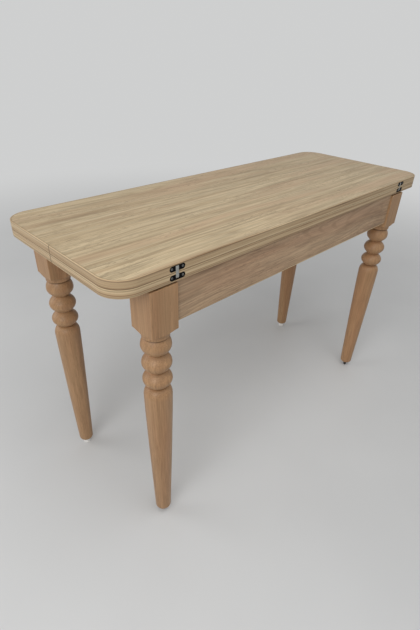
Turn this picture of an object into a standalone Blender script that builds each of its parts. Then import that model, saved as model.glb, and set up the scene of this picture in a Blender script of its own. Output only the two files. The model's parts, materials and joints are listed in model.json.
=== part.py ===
"""Folding kitchen table, in metres, +Z up.

A narrow table on four turned legs. Its top is two leaves that lie on each other like a closed book and
are hinged along the front edge. The base is two frames on telescopic slides: the front frame pulls
forward and then carries the upper leaf, once that is folded over.

The origin is on the floor under the middle of the closed top. +X runs along the long side, +Y to the back.
The base stands a little to the left of the top's middle.
"""

import math

import bmesh
import bpy
from mathutils import Matrix, Vector

OBJECT_NAME = "folding_kitchen_table"

# Clearances
FIT = 0.0003                    # gap of pieces that are glued, screwed or laid together
CUT_MARGIN = 0.001              # how far a cutter runs past the face that it opens
WELD = 0.000001

# Leaves
TABLE_HEIGHT = 0.750
LEAF_LENGTH = 1.200
LEAF_WIDTH = 0.450
LEAF_THICKNESS = 0.018
LEAF_CORNER_RADIUS = 0.054
LEAF_CORNER_STEPS = 8
SEAM_GAP = 0.0004               # between the two closed leaves

# Edge bands
BAND_THICKNESS = 0.002
BAND_ARRIS = 0.0010
BAND_ARRIS_STEPS = 2
BAND_JOINT_GAP = 0.0006         # butt joint on the left end
BAND_JOINT_Y = 0.0

# Legs
BASE_OFFSET = -0.0155           # base's middle from the top's, along X
LEG_BLOCK = 0.068
LEG_INSET = 0.1245              # leaf's end to a front leg's axis, mean of both ends
BACK_OVERHANG = 0.0275          # leaf's back edge behind the back legs
LEG_SETBACK = 0.0005            # leg face behind the leaf's front edge
LEG_TOP_DROP = 0.0042           # leg top below the apron's top
BLOCK_LENGTH = 0.1041
SHOULDER_LENGTH = 0.011         # hollow under the block
SHOULDER_STEPS = 4
NECK_RADIUS = 0.0302
NECK_LENGTH = 0.0050
NECK_GROOVE_RADIUS = 0.0255
NECK_GROOVE_LENGTH = 0.0025     # neck's undercut foot
BEAD_LENGTHS = (0.0450, 0.0465, 0.0436)
BEAD_RADIUS = 0.0335
BEAD_STEPS = 10
BEAD_FULLNESS = 2.0
GROOVE_RADIUS = 0.0170
SHANK_RADIUS = 0.0327
SHANK_SHOULDER_LENGTH = 0.0236
SHANK_SHOULDER_STEPS = 5
SHANK_STEPS = 6
SHANK_SWELL = 1.2               # 1 is a straight taper, more keeps the upper half fuller
FOOT_RADIUS = 0.0203
FOOT_ROUND = 0.010
FOOT_ROUND_STEPS = 3
LEG_SEGMENTS = 24

# Glides
FRONT_GLIDE_RADIUS = 0.0055
BACK_GLIDE_RADIUS = 0.0105
GLIDE_HEIGHT = 0.0160
GLIDE_CHAMFER = 0.0015
GLIDE_STEM_RADIUS = 0.0035
GLIDE_STEM_LENGTH = 0.012
GLIDE_SEGMENTS = 16

# Aprons
APRON_HEIGHT = 0.094
APRON_THICKNESS = 0.018
APRON_SETBACK = 0.005           # apron face behind the outer face of the leg block
APRON_BAND = 0.002

# Side rails and the tie rail of the front frame
RAIL_HEIGHT = 0.056
RAIL_THICKNESS = 0.018
INNER_RAIL_DROP = 0.001         # inner rail's top below the outer rail's
OUTER_RAIL_FRONT_GAP = 0.002    # outer rail's front end to the front leg block
INNER_RAIL_BACK_GAP = 0.018     # inner rail's back end to the back apron
TIE_HEIGHT = 0.050
TIE_THICKNESS = 0.018
TIE_INSET = 0.010               # behind the tie rail, to the end of the inner rails

# Tenons
TENON_THICKNESS = 0.008
TENON_LENGTH = 0.025
TENON_SHOULDER = 0.012          # above and below a tenon
TIE_TENON_LENGTH = 0.011

# Telescopic slides
SLIDE_THICKNESS = 0.0127        # room between an outer and an inner rail
SLIDE_HEIGHT = 0.045
SLIDE_METAL = 0.0012
SLIDE_RUN = 0.0008              # sideways gap of members that run in each other
SLIDE_FRONT_INSET = 0.002       # slide's front end to the front leg block
SLIDE_BACK_INSET = 0.010        # slide's back end to the inner rail's
BALL_ROOM = 0.0037              # between the flanges of two members
RETAINER_METAL = 0.0005
RETAINER_INSET = 0.0755         # slide's end to the retainer's, room for its travel
RETAINER_SIDE_GAP = 0.0006
SLIDE_SCREW_INSET = 0.0405      # from the slide's ends
SLIDE_SCREW_HEAD = 0.0009
SLIDE_SCREW_HEAD_RADIUS = 0.0032
SLIDE_SCREW_RADIUS = 0.0017
SLIDE_SCREW_LENGTH = 0.014

# Screws that hold the lower leaf, up through the outer rails
LEAF_SCREW_INSET = 0.075        # from the outer rail's ends
LEAF_SCREW_LENGTH = 0.045
LEAF_SCREW_BITE = 0.013         # depth in the leaf
LEAF_SCREW_HEAD = 0.0026
LEAF_SCREW_HEAD_RADIUS = 0.0036
LEAF_SCREW_RADIUS = 0.0018
LEAF_SCREW_BORE_RADIUS = 0.0045 # counterbore from the rail's lower edge

# Hinges
HINGE_INSET = 0.141             # leaf's end to the hinge's middle
FLIP_CLEARANCE = 0.0003         # fold axis in front of the leaves' edge
PLATE_LENGTH = 0.038
PLATE_HEIGHT = 0.0115
PLATE_THICKNESS = 0.002
PLATE_SINK = 0.0002
PLATE_END_STEPS = 8
CHEEK_THICKNESS = 0.003
CHEEK_HEIGHT = 0.0085
CHEEK_DEPTH = 0.0080            # from the leaf's edge to the back of the cheeks
PIN_RADIUS = 0.0014
PIN_DEPTH = 0.0038              # behind the leaf's edge
PIN_RISE = 0.0060               # from the leaf's inner face
PIN_CLEARANCE = 0.0002
PIN_SEGMENTS = 12
LINK_THICKNESS = 0.0076         # along X
LINK_HALF_WIDTH = 0.0032
LINK_TAIL = 0.0014
LINK_SIDE_CLEARANCE = 0.0005
LINK_SWING_CLEARANCE = 0.0007
LINK_END_STEPS = 8
HINGE_SCREW_SPACING = 0.027
HINGE_SCREW_HEAD = 0.0016
HINGE_SCREW_HEAD_RADIUS = 0.0026
HINGE_SCREW_RADIUS = 0.0015
HINGE_SCREW_LENGTH = 0.016
SCREW_SEGMENTS = 10

SMOOTH_ANGLE = math.radians(35)

# Heights
SEAM_Z = TABLE_HEIGHT - LEAF_THICKNESS - SEAM_GAP / 2
LEAF_UNDERSIDE_Z = SEAM_Z - SEAM_GAP / 2 - LEAF_THICKNESS
APRON_TOP_Z = LEAF_UNDERSIDE_Z - FIT
APRON_BOTTOM_Z = APRON_TOP_Z - APRON_HEIGHT
LEG_TOP_Z = APRON_TOP_Z - LEG_TOP_DROP
LEG_BOTTOM_Z = GLIDE_HEIGHT + FIT
RAIL_BOTTOM_Z = APRON_TOP_Z - RAIL_HEIGHT
RAIL_MIDDLE_Z = APRON_TOP_Z - RAIL_HEIGHT / 2

# Distances from the middle of the base out to either side
FRONT_LEG_X = LEAF_LENGTH / 2 - LEG_INSET
BACK_LEG_X = FRONT_LEG_X + RAIL_THICKNESS + SLIDE_THICKNESS
INNER_RAIL_INNER_X = FRONT_LEG_X - LEG_BLOCK / 2
INNER_RAIL_OUTER_X = INNER_RAIL_INNER_X + RAIL_THICKNESS
OUTER_RAIL_INNER_X = BACK_LEG_X - LEG_BLOCK / 2
OUTER_RAIL_OUTER_X = OUTER_RAIL_INNER_X + RAIL_THICKNESS

# Places along the table's depth
FRONT_EDGE_Y = -LEAF_WIDTH / 2
FRONT_LEG_Y = FRONT_EDGE_Y + LEG_SETBACK + LEG_BLOCK / 2
BACK_LEG_Y = LEAF_WIDTH / 2 - BACK_OVERHANG - LEG_BLOCK / 2
FRONT_BLOCK_BACK_Y = FRONT_LEG_Y + LEG_BLOCK / 2
BACK_BLOCK_FRONT_Y = BACK_LEG_Y - LEG_BLOCK / 2
FRONT_APRON_Y = FRONT_LEG_Y - LEG_BLOCK / 2 + APRON_SETBACK + APRON_THICKNESS / 2
BACK_APRON_Y = BACK_LEG_Y + LEG_BLOCK / 2 - APRON_SETBACK - APRON_THICKNESS / 2
BACK_APRON_INNER_Y = BACK_APRON_Y - APRON_THICKNESS / 2
OUTER_RAIL_FRONT_Y = FRONT_BLOCK_BACK_Y + OUTER_RAIL_FRONT_GAP
INNER_RAIL_BACK_Y = BACK_APRON_INNER_Y - INNER_RAIL_BACK_GAP
TIE_Y = INNER_RAIL_BACK_Y - TIE_INSET - TIE_THICKNESS / 2
SLIDE_FRONT_Y = FRONT_BLOCK_BACK_Y + SLIDE_FRONT_INSET
SLIDE_BACK_Y = INNER_RAIL_BACK_Y - SLIDE_BACK_INSET
SLIDE_Y = (SLIDE_FRONT_Y + SLIDE_BACK_Y) / 2
SLIDE_LENGTH = SLIDE_BACK_Y - SLIDE_FRONT_Y
RETAINER_LENGTH = SLIDE_LENGTH - 2 * RETAINER_INSET
SLIDE_SCREW_REACH = SLIDE_LENGTH / 2 - SLIDE_SCREW_INSET

# Slide section, counted from the outer rail's inner face towards the middle of the table
OUTER_MEMBER_BACK = FIT
OUTER_HEAD_TOP = OUTER_MEMBER_BACK + SLIDE_METAL + FIT + SLIDE_SCREW_HEAD
OUTER_RETAINER_BACK = OUTER_HEAD_TOP + FIT
MIDDLE_MEMBER_BACK = OUTER_RETAINER_BACK + RETAINER_METAL + FIT
INNER_RETAINER_BACK = MIDDLE_MEMBER_BACK + SLIDE_METAL + FIT
INNER_MEMBER_TIP = INNER_RETAINER_BACK + RETAINER_METAL + FIT
INNER_MEMBER_BACK = SLIDE_THICKNESS - FIT
INNER_MEMBER_WEB = INNER_MEMBER_BACK - SLIDE_METAL
INNER_HEAD_TOP = INNER_MEMBER_WEB - FIT - SLIDE_SCREW_HEAD
OUTER_MEMBER_TIP = INNER_MEMBER_WEB
MIDDLE_MEMBER_TIP = INNER_MEMBER_WEB - SLIDE_RUN
RETAINER_TIP = MIDDLE_MEMBER_TIP - RETAINER_SIDE_GAP
OUTER_MEMBER_HALF = SLIDE_HEIGHT / 2
MIDDLE_MEMBER_HALF = OUTER_MEMBER_HALF - SLIDE_METAL - BALL_ROOM
INNER_MEMBER_HALF = MIDDLE_MEMBER_HALF - SLIDE_METAL - BALL_ROOM
OUTER_RETAINER_HALF = OUTER_MEMBER_HALF - SLIDE_METAL - FIT
INNER_RETAINER_HALF = MIDDLE_MEMBER_HALF - SLIDE_METAL - FIT
BALL_ROW = BALL_ROOM - 2 * FIT

# Hinge working: both pins lie on one circle about the fold axis, so the link turns by half the leaf's angle
FLIP_AXIS_Y = FRONT_EDGE_Y - FLIP_CLEARANCE
PIN_Y = FRONT_EDGE_Y + PIN_DEPTH
PIN_OUT = PIN_DEPTH + FLIP_CLEARANCE
PIN_UP = PIN_RISE + SEAM_GAP / 2
PIN_SPAN_SHORT = 2 * min(PIN_OUT, PIN_UP)
PIN_SPAN_LONG = 2 * math.hypot(PIN_OUT, PIN_UP)
PIN_HOLE_RADIUS = PIN_RADIUS + PIN_CLEARANCE
LINK_REACH = PIN_SPAN_LONG + PIN_CLEARANCE + LINK_HALF_WIDTH + LINK_TAIL
LINK_HIGH_CENTRE = LINK_REACH - LINK_HALF_WIDTH
LINK_LOW_CENTRE = 2 * PIN_UP - LINK_HIGH_CENTRE
LINK_SLOT_HALF = LINK_THICKNESS / 2 + LINK_SIDE_CLEARANCE
LINK_POCKET_HEIGHT = LINK_REACH - PIN_UP - SEAM_GAP / 2 + LINK_SWING_CLEARANCE
LINK_POCKET_DEPTH = LINK_REACH - PIN_OUT - FLIP_CLEARANCE + LINK_SWING_CLEARANCE
CHEEK_OUTER_X = LINK_SLOT_HALF + CHEEK_THICKNESS
PLATE_LOW = LEAF_THICKNESS / 2 - PLATE_HEIGHT / 2
HINGE_X = LEAF_LENGTH / 2 - HINGE_INSET

SIDES = {"left": -1, "right": 1}
ENDS = {"front": -1, "back": 1}
LEAVES = {"lower": -1, "upper": 1}

# Scene set-up

for old in list(bpy.data.objects):
    bpy.data.objects.remove(old)

PARTS = bpy.data.collections.new(OBJECT_NAME)
CUTTERS = bpy.data.collections.new(OBJECT_NAME + "_cutters")
bpy.context.scene.collection.children.link(PARTS)
bpy.context.scene.collection.children.link(CUTTERS)


def make_material(name, colour, roughness, metallic=0.0):
    material = bpy.data.materials.new(name)
    material.use_nodes = True
    shader = material.node_tree.nodes["Principled BSDF"]
    shader.inputs["Base Color"].default_value = (*colour, 1.0)
    shader.inputs["Roughness"].default_value = roughness
    shader.inputs["Metallic"].default_value = metallic
    material.diffuse_color = (*colour, 1.0)
    return material


OAK_LAMINATE = make_material("oak_laminate", (0.47, 0.37, 0.23), 0.50)
OAK_BAND = make_material("oak_edge_band", (0.40, 0.30, 0.18), 0.45)
BEECH = make_material("beech", (0.41, 0.21, 0.11), 0.45)
RAIL_WOOD = make_material("rail_wood", (0.52, 0.38, 0.22), 0.60)
BLACK_STEEL = make_material("black_steel", (0.012, 0.012, 0.013), 0.40, 0.6)
ZINC_STEEL = make_material("zinc_steel", (0.60, 0.61, 0.60), 0.35, 1.0)
WHITE_PLASTIC = make_material("white_plastic", (0.80, 0.79, 0.76), 0.45)
BLACK_PLASTIC = make_material("black_plastic", (0.015, 0.015, 0.016), 0.50)


def make_empty(name, location):
    empty = bpy.data.objects.new(name, None)
    empty.location = location
    PARTS.objects.link(empty)
    return empty


BACK_FRAME = make_empty("back_frame_origin", (0, 0, 0))
FRONT_FRAME = make_empty("front_frame_slide", (0, SLIDE_Y, RAIL_MIDDLE_Z))
SLIDE_MIDDLE = make_empty("slide_middle_travel", (0, SLIDE_Y, RAIL_MIDDLE_Z))
OUTER_RETAINERS = make_empty("outer_retainer_travel", (0, SLIDE_Y, RAIL_MIDDLE_Z))
INNER_RETAINERS = make_empty("inner_retainer_travel", (0, SLIDE_Y, RAIL_MIDDLE_Z))
FLIP_LEAF = make_empty("flip_axis", (0, FLIP_AXIS_Y, SEAM_Z))
HINGE_LINKS = make_empty("link_axis", (0, PIN_Y, SEAM_Z - PIN_UP))
bpy.context.view_layer.update()


def base_x(side, distance):
    """X of a place on the base, from its side and its distance from the base's middle."""
    return BASE_OFFSET + side * distance


# Mesh helpers

def tidy_mesh(mesh):
    """Weld the seams of a mesh and turn its faces out."""
    work = bmesh.new()
    work.from_mesh(mesh)
    bmesh.ops.remove_doubles(work, verts=work.verts, dist=WELD)
    bmesh.ops.dissolve_degenerate(work, edges=work.edges, dist=WELD)
    bmesh.ops.recalc_face_normals(work, faces=work.faces)
    work.to_mesh(mesh)
    work.free()
    return mesh


def evaluated_mesh(obj):
    """Turn an object with its modifiers or curve settings into a plain mesh, and remove the object."""
    graph = bpy.context.evaluated_depsgraph_get()
    mesh = bpy.data.meshes.new_from_object(obj.evaluated_get(graph))
    bpy.data.objects.remove(obj)
    return tidy_mesh(mesh)


def box_mesh(low, high):
    mesh = bpy.data.meshes.new("box")
    work = bmesh.new()
    bmesh.ops.create_cube(work, size=1.0)
    size = Vector(high) - Vector(low)
    centre = (Vector(high) + Vector(low)) / 2
    work.transform(Matrix.Translation(centre) @ Matrix.Diagonal((*size, 1.0)))
    work.to_mesh(mesh)
    work.free()
    return mesh


def rod_mesh(radius, start, end, segments):
    """A plain round rod between two points."""
    start = Vector(start)
    span = Vector(end) - start
    mesh = bpy.data.meshes.new("rod")
    work = bmesh.new()
    bmesh.ops.create_cone(work, cap_ends=True, segments=segments, radius1=radius, radius2=radius,
                          depth=span.length)
    work.transform(aim(start + span / 2, span))
    work.to_mesh(mesh)
    work.free()
    return mesh


def turned_mesh(profile, segments):
    """Turn (radius, height) points about Z; they run top to bottom on the outer side."""
    mesh = bpy.data.meshes.new("profile")
    mesh.from_pydata([(r, 0.0, z) for r, z in profile], [(i, i + 1) for i in range(len(profile) - 1)], [])
    obj = bpy.data.objects.new("profile", mesh)
    CUTTERS.objects.link(obj)
    screw = obj.modifiers.new("Screw", "SCREW")
    screw.steps = segments
    screw.render_steps = segments
    screw.use_merge_vertices = True
    screw.merge_threshold = WELD
    return evaluated_mesh(obj)


def outline_mesh(loops, thickness):
    """Extrude closed 2D loops, the later ones being holes in the first, by half the thickness each way."""
    curve = bpy.data.curves.new("outline", "CURVE")
    curve.dimensions = "2D"
    curve.fill_mode = "BOTH"
    curve.extrude = thickness / 2
    for loop in loops:
        spline = curve.splines.new("POLY")
        spline.points.add(len(loop) - 1)
        spline.use_cyclic_u = True
        for point, (u, v) in zip(spline.points, loop):
            point.co = (u, v, 0.0, 1.0)
    obj = bpy.data.objects.new("outline", curve)
    CUTTERS.objects.link(obj)
    return evaluated_mesh(obj)


def aim(position, direction):
    """Matrix that takes +Z to a direction and the origin to a position."""
    turn = Vector(direction).to_track_quat("Z", "Y").to_matrix().to_4x4()
    return Matrix.Translation(Vector(position)) @ turn


def axes_at(position, u, v):
    """Matrix that takes local X to u, local Y to v and local Z to u cross v."""
    u = Vector(u)
    v = Vector(v)
    turn = Matrix((u, v, u.cross(v))).transposed().to_4x4()
    return Matrix.Translation(Vector(position)) @ turn


def arc(centre, radius, start_deg, end_deg, steps):
    points = []
    for i in range(steps + 1):
        angle = math.radians(start_deg + (end_deg - start_deg) * i / steps)
        points.append((centre[0] + radius * math.cos(angle), centre[1] + radius * math.sin(angle)))
    return points


def stadium(low, high, half_width, steps):
    """Loop round a slot that runs along v, between the centres of its two round ends."""
    return arc((0, high), half_width, 0, 180, steps) + arc((0, low), half_width, 180, 360, steps)


def transformed(mesh, matrix):
    mesh.transform(matrix)
    return mesh


# Object helpers

def add_part(name, mesh, material, parent, location=(0, 0, 0)):
    """A named sub-part at its place, carried by the empty on its joint's axis."""
    mesh.name = name
    if not mesh.materials:
        mesh.materials.append(material)
    mesh.shade_smooth()
    mesh.set_sharp_from_angle(angle=SMOOTH_ANGLE)
    part = bpy.data.objects.new(name, mesh)
    PARTS.objects.link(part)
    part.parent = parent
    part.matrix_parent_inverse = parent.matrix_world.inverted()
    part.location = location
    return part


def add_cutter(name, mesh):
    cutter = bpy.data.objects.new(name, mesh)
    cutter.hide_render = True
    cutter.display_type = "WIRE"
    CUTTERS.objects.link(cutter)
    return cutter


def combine(part, other, operation):
    boolean = part.modifiers.new(other.name, "BOOLEAN")
    boolean.operation = operation
    boolean.object = other


def cut(part, *cutters):
    for cutter in cutters:
        combine(part, cutter, "DIFFERENCE")


# Screws and tenons, used by several joints

def screw_mesh(head_radius, head, radius, length, countersunk):
    """A screw with the top of its head at the origin, pointing down."""
    head_foot = [] if countersunk else [(head_radius, -head)]
    profile = [(0, 0), (head_radius, 0), *head_foot, (radius, -head), (radius, -length), (0, -length)]
    return turned_mesh(profile, SCREW_SEGMENTS)


def screw_hole_mesh(radius, length):
    """Straight hole for a screw, a fit wider and longer, open past the head."""
    return rod_mesh(radius + FIT, (0, 0, CUT_MARGIN), (0, 0, -length - FIT), SCREW_SEGMENTS)


def add_screw(name, mesh, hole_mesh, matrix, frame, parts):
    """A screw at its place, and its hole in each of the parts that it holds."""
    add_part(name, transformed(mesh.copy(), matrix), ZINC_STEEL, frame)
    hole = add_cutter(name + "_hole", transformed(hole_mesh.copy(), matrix))
    for part in parts:
        cut(part, hole)


def add_tenon(part, host, name, root, tip):
    """A tenon between two corners, joined to one part, with its mortise, a fit larger, in the other."""
    low = Vector([min(pair) for pair in zip(root, tip)])
    high = Vector([max(pair) for pair in zip(root, tip)])
    grow = Vector((FIT, FIT, FIT))
    combine(part, add_cutter(name + "_tenon", box_mesh(low, high)), "UNION")
    cut(host, add_cutter(name + "_mortise", box_mesh(low - grow, high + grow)))


# Legs and glides

def leg_profile():
    """Turned leg, top to bottom, with a hole for the glide's stem; the block's corners are left oversize."""
    half_diagonal = LEG_BLOCK / math.sqrt(2)
    blank_radius = half_diagonal / math.cos(math.pi / LEG_SEGMENTS) + CUT_MARGIN
    z = LEG_TOP_Z - BLOCK_LENGTH
    points = [(0, LEG_TOP_Z), (blank_radius, LEG_TOP_Z), (blank_radius, z)]
    for i in range(1, SHOULDER_STEPS + 1):
        angle = math.pi / 2 * i / SHOULDER_STEPS
        radius = blank_radius - (blank_radius - NECK_RADIUS) * math.sin(angle)
        points.append((radius, z - SHOULDER_LENGTH * (1 - math.cos(angle))))
    z -= SHOULDER_LENGTH + NECK_LENGTH
    points.append((NECK_RADIUS, z))
    z -= NECK_GROOVE_LENGTH
    points.append((NECK_GROOVE_RADIUS, z))
    upper_radius = NECK_GROOVE_RADIUS
    for length in BEAD_LENGTHS:
        for i in range(1, BEAD_STEPS + 1):
            share = i / BEAD_STEPS
            foot_radius = upper_radius if 2 * share < 1 else GROOVE_RADIUS
            bulge = 1 - abs(2 * share - 1) ** BEAD_FULLNESS
            points.append((foot_radius + (BEAD_RADIUS - foot_radius) * bulge, z - length * share))
        z -= length
        upper_radius = GROOVE_RADIUS
    for i in range(1, SHANK_SHOULDER_STEPS + 1):
        angle = math.pi / 2 * i / SHANK_SHOULDER_STEPS
        radius = GROOVE_RADIUS + (SHANK_RADIUS - GROOVE_RADIUS) * math.sin(angle)
        points.append((radius, z - SHANK_SHOULDER_LENGTH * (1 - math.cos(angle))))
    z -= SHANK_SHOULDER_LENGTH
    shank_length = z - LEG_BOTTOM_Z - FOOT_ROUND
    for i in range(1, SHANK_STEPS + 1):
        share = i / SHANK_STEPS
        radius = SHANK_RADIUS - (SHANK_RADIUS - FOOT_RADIUS) * share ** SHANK_SWELL
        points.append((radius, z - shank_length * share))
    for i in range(1, FOOT_ROUND_STEPS + 1):
        angle = math.pi / 2 * i / FOOT_ROUND_STEPS
        drop = LEG_BOTTOM_Z + FOOT_ROUND * (1 - math.sin(angle))
        points.append((FOOT_RADIUS - FOOT_ROUND * (1 - math.cos(angle)), drop))
    stem_radius = GLIDE_STEM_RADIUS + FIT
    stem_top = GLIDE_HEIGHT + GLIDE_STEM_LENGTH + FIT
    return points + [(stem_radius, LEG_BOTTOM_Z), (stem_radius, stem_top), (0, stem_top)]


def glide_mesh(radius):
    stem_top = GLIDE_HEIGHT + GLIDE_STEM_LENGTH
    profile = [(0, stem_top), (GLIDE_STEM_RADIUS, stem_top), (GLIDE_STEM_RADIUS, GLIDE_HEIGHT),
               (radius, GLIDE_HEIGHT), (radius, GLIDE_CHAMFER), (radius - GLIDE_CHAMFER, 0), (0, 0)]
    return turned_mesh(profile, GLIDE_SEGMENTS)


LEG_PAIRS = {
    "front": (FRONT_LEG_X, FRONT_LEG_Y, FRONT_GLIDE_RADIUS, BLACK_PLASTIC, FRONT_FRAME),
    "back": (BACK_LEG_X, BACK_LEG_Y, BACK_GLIDE_RADIUS, WHITE_PLASTIC, BACK_FRAME),
}
LEGS = {}

LEG_MESH = turned_mesh(leg_profile(), LEG_SEGMENTS)
for pair, (leg_x, leg_y, glide_radius, glide_material, frame) in LEG_PAIRS.items():
    glide = glide_mesh(glide_radius)
    for side_name, side in SIDES.items():
        place = Vector((base_x(side, leg_x), leg_y, 0))
        half = LEG_BLOCK / 2
        low = place + Vector((-half, -half, -CUT_MARGIN))
        high = place + Vector((half, half, LEG_TOP_Z + CUT_MARGIN))
        leg = add_part(f"leg_{pair}_{side_name}", LEG_MESH, BEECH, frame, place)
        combine(leg, add_cutter(f"leg_blank_{pair}_{side_name}", box_mesh(low, high)), "INTERSECT")
        LEGS[pair, side_name] = leg
        add_part(f"glide_{pair}_{side_name}", glide, glide_material, frame, place)


# Aprons

def add_apron(pair, leg_x, y, board_bottom, frame):
    """Apron between the legs of a pair, tenoned into both."""
    inner_x = leg_x - LEG_BLOCK / 2
    half_length = inner_x - FIT
    half = APRON_THICKNESS / 2
    low = (base_x(-1, half_length), y - half, board_bottom)
    high = (base_x(1, half_length), y + half, APRON_TOP_Z)
    apron = add_part(f"{pair}_apron", box_mesh(low, high), OAK_LAMINATE, frame)
    for side_name, side in SIDES.items():
        root_x = base_x(side, inner_x - TENON_LENGTH)
        tip_x = base_x(side, inner_x + TENON_LENGTH)
        root = (root_x, y - TENON_THICKNESS / 2, board_bottom + TENON_SHOULDER)
        tip = (tip_x, y + TENON_THICKNESS / 2, APRON_TOP_Z - TENON_SHOULDER)
        add_tenon(apron, LEGS[pair, side_name], f"{pair}_apron_{side_name}", root, tip)


def front_apron_band_mesh():
    """Strip along the front apron's lower edge, the one that shows."""
    half_length = FRONT_LEG_X - LEG_BLOCK / 2 - FIT
    half = APRON_THICKNESS / 2
    low = (base_x(-1, half_length), FRONT_APRON_Y - half, APRON_BOTTOM_Z)
    high = (base_x(1, half_length), FRONT_APRON_Y + half, APRON_BOTTOM_Z + APRON_BAND)
    return box_mesh(low, high)


add_apron("front", FRONT_LEG_X, FRONT_APRON_Y, APRON_BOTTOM_Z + APRON_BAND + FIT, FRONT_FRAME)
add_apron("back", BACK_LEG_X, BACK_APRON_Y, APRON_BOTTOM_Z, BACK_FRAME)
add_part("front_apron_edge_band", front_apron_band_mesh(), OAK_BAND, FRONT_FRAME)


# Side rails and tie rail

def span_box(side, near_x, far_x, low_y, high_y, low_z, high_z):
    """A box on one side of the base, given by its distances from the middle."""
    xs = sorted((base_x(side, near_x), base_x(side, far_x)))
    return box_mesh((xs[0], low_y, low_z), (xs[1], high_y, high_z))


def add_rail_tenon(rail, pair, side_name, x, joint_y, top_z):
    """Tenon of a side rail in its leg."""
    root = (x - TENON_THICKNESS / 2, joint_y - TENON_LENGTH, RAIL_BOTTOM_Z + TENON_SHOULDER)
    tip = (x + TENON_THICKNESS / 2, joint_y + TENON_LENGTH, top_z - TENON_SHOULDER)
    add_tenon(rail, LEGS[pair, side_name], f"rail_{pair}_{side_name}", root, tip)


OUTER_RAILS = {}
INNER_RAILS = {}
INNER_RAIL_TOP_Z = APRON_TOP_Z - INNER_RAIL_DROP
for side_name, side in SIDES.items():
    outer = span_box(side, OUTER_RAIL_INNER_X, OUTER_RAIL_OUTER_X, OUTER_RAIL_FRONT_Y,
                     BACK_BLOCK_FRONT_Y - FIT, RAIL_BOTTOM_Z, APRON_TOP_Z)
    inner = span_box(side, INNER_RAIL_INNER_X, INNER_RAIL_OUTER_X, FRONT_BLOCK_BACK_Y + FIT,
                     INNER_RAIL_BACK_Y, RAIL_BOTTOM_Z, INNER_RAIL_TOP_Z)
    OUTER_RAILS[side_name] = add_part(f"outer_rail_{side_name}", outer, RAIL_WOOD, BACK_FRAME)
    INNER_RAILS[side_name] = add_part(f"inner_rail_{side_name}", inner, RAIL_WOOD, FRONT_FRAME)
    outer_x = base_x(side, OUTER_RAIL_INNER_X + RAIL_THICKNESS / 2)
    inner_x = base_x(side, INNER_RAIL_INNER_X + RAIL_THICKNESS / 2)
    add_rail_tenon(OUTER_RAILS[side_name], "back", side_name, outer_x, BACK_BLOCK_FRONT_Y, APRON_TOP_Z)
    add_rail_tenon(INNER_RAILS[side_name], "front", side_name, inner_x, FRONT_BLOCK_BACK_Y, INNER_RAIL_TOP_Z)

TIE_HALF_LENGTH = INNER_RAIL_INNER_X - FIT
TIE_LOW = (base_x(-1, TIE_HALF_LENGTH), TIE_Y - TIE_THICKNESS / 2, RAIL_MIDDLE_Z - TIE_HEIGHT / 2)
TIE_HIGH = (base_x(1, TIE_HALF_LENGTH), TIE_Y + TIE_THICKNESS / 2, RAIL_MIDDLE_Z + TIE_HEIGHT / 2)
TIE_RAIL = add_part("tie_rail", box_mesh(TIE_LOW, TIE_HIGH), RAIL_WOOD, FRONT_FRAME)
for side_name, side in SIDES.items():
    root_x = base_x(side, INNER_RAIL_INNER_X - TIE_TENON_LENGTH)
    tip_x = base_x(side, INNER_RAIL_INNER_X + TIE_TENON_LENGTH)
    root = (root_x, TIE_Y - TENON_THICKNESS / 2, TIE_LOW[2] + TENON_SHOULDER)
    tip = (tip_x, TIE_Y + TENON_THICKNESS / 2, TIE_HIGH[2] - TENON_SHOULDER)
    add_tenon(TIE_RAIL, INNER_RAILS[side_name], f"tie_{side_name}", root, tip)


# Telescopic slides

def channel_mesh(side, back, tip, half_height, web, flange, length):
    """A channel along the slide; its back and flange tips are given in the slide's own section."""
    web_face = back + math.copysign(web, tip - back)
    inside = half_height - flange
    section = [(back, -half_height), (tip, -half_height), (tip, -inside), (web_face, -inside),
               (web_face, inside), (tip, inside), (tip, half_height), (back, half_height)]
    loop = [(base_x(side, OUTER_RAIL_INNER_X - u), v) for u, v in section]
    mesh = outline_mesh([loop], length)
    return transformed(mesh, axes_at((0, SLIDE_Y, RAIL_MIDDLE_Z), (1, 0, 0), (0, 0, 1)))


def member_mesh(side, back, tip, half_height):
    return channel_mesh(side, back, tip, half_height, SLIDE_METAL, SLIDE_METAL, SLIDE_LENGTH)


def retainer_mesh(side, back, half_height):
    """Thin cage with a full row of balls along its upper and lower edge, each row as one bar."""
    return channel_mesh(side, back, RETAINER_TIP, half_height, RETAINER_METAL, BALL_ROW, RETAINER_LENGTH)


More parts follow.
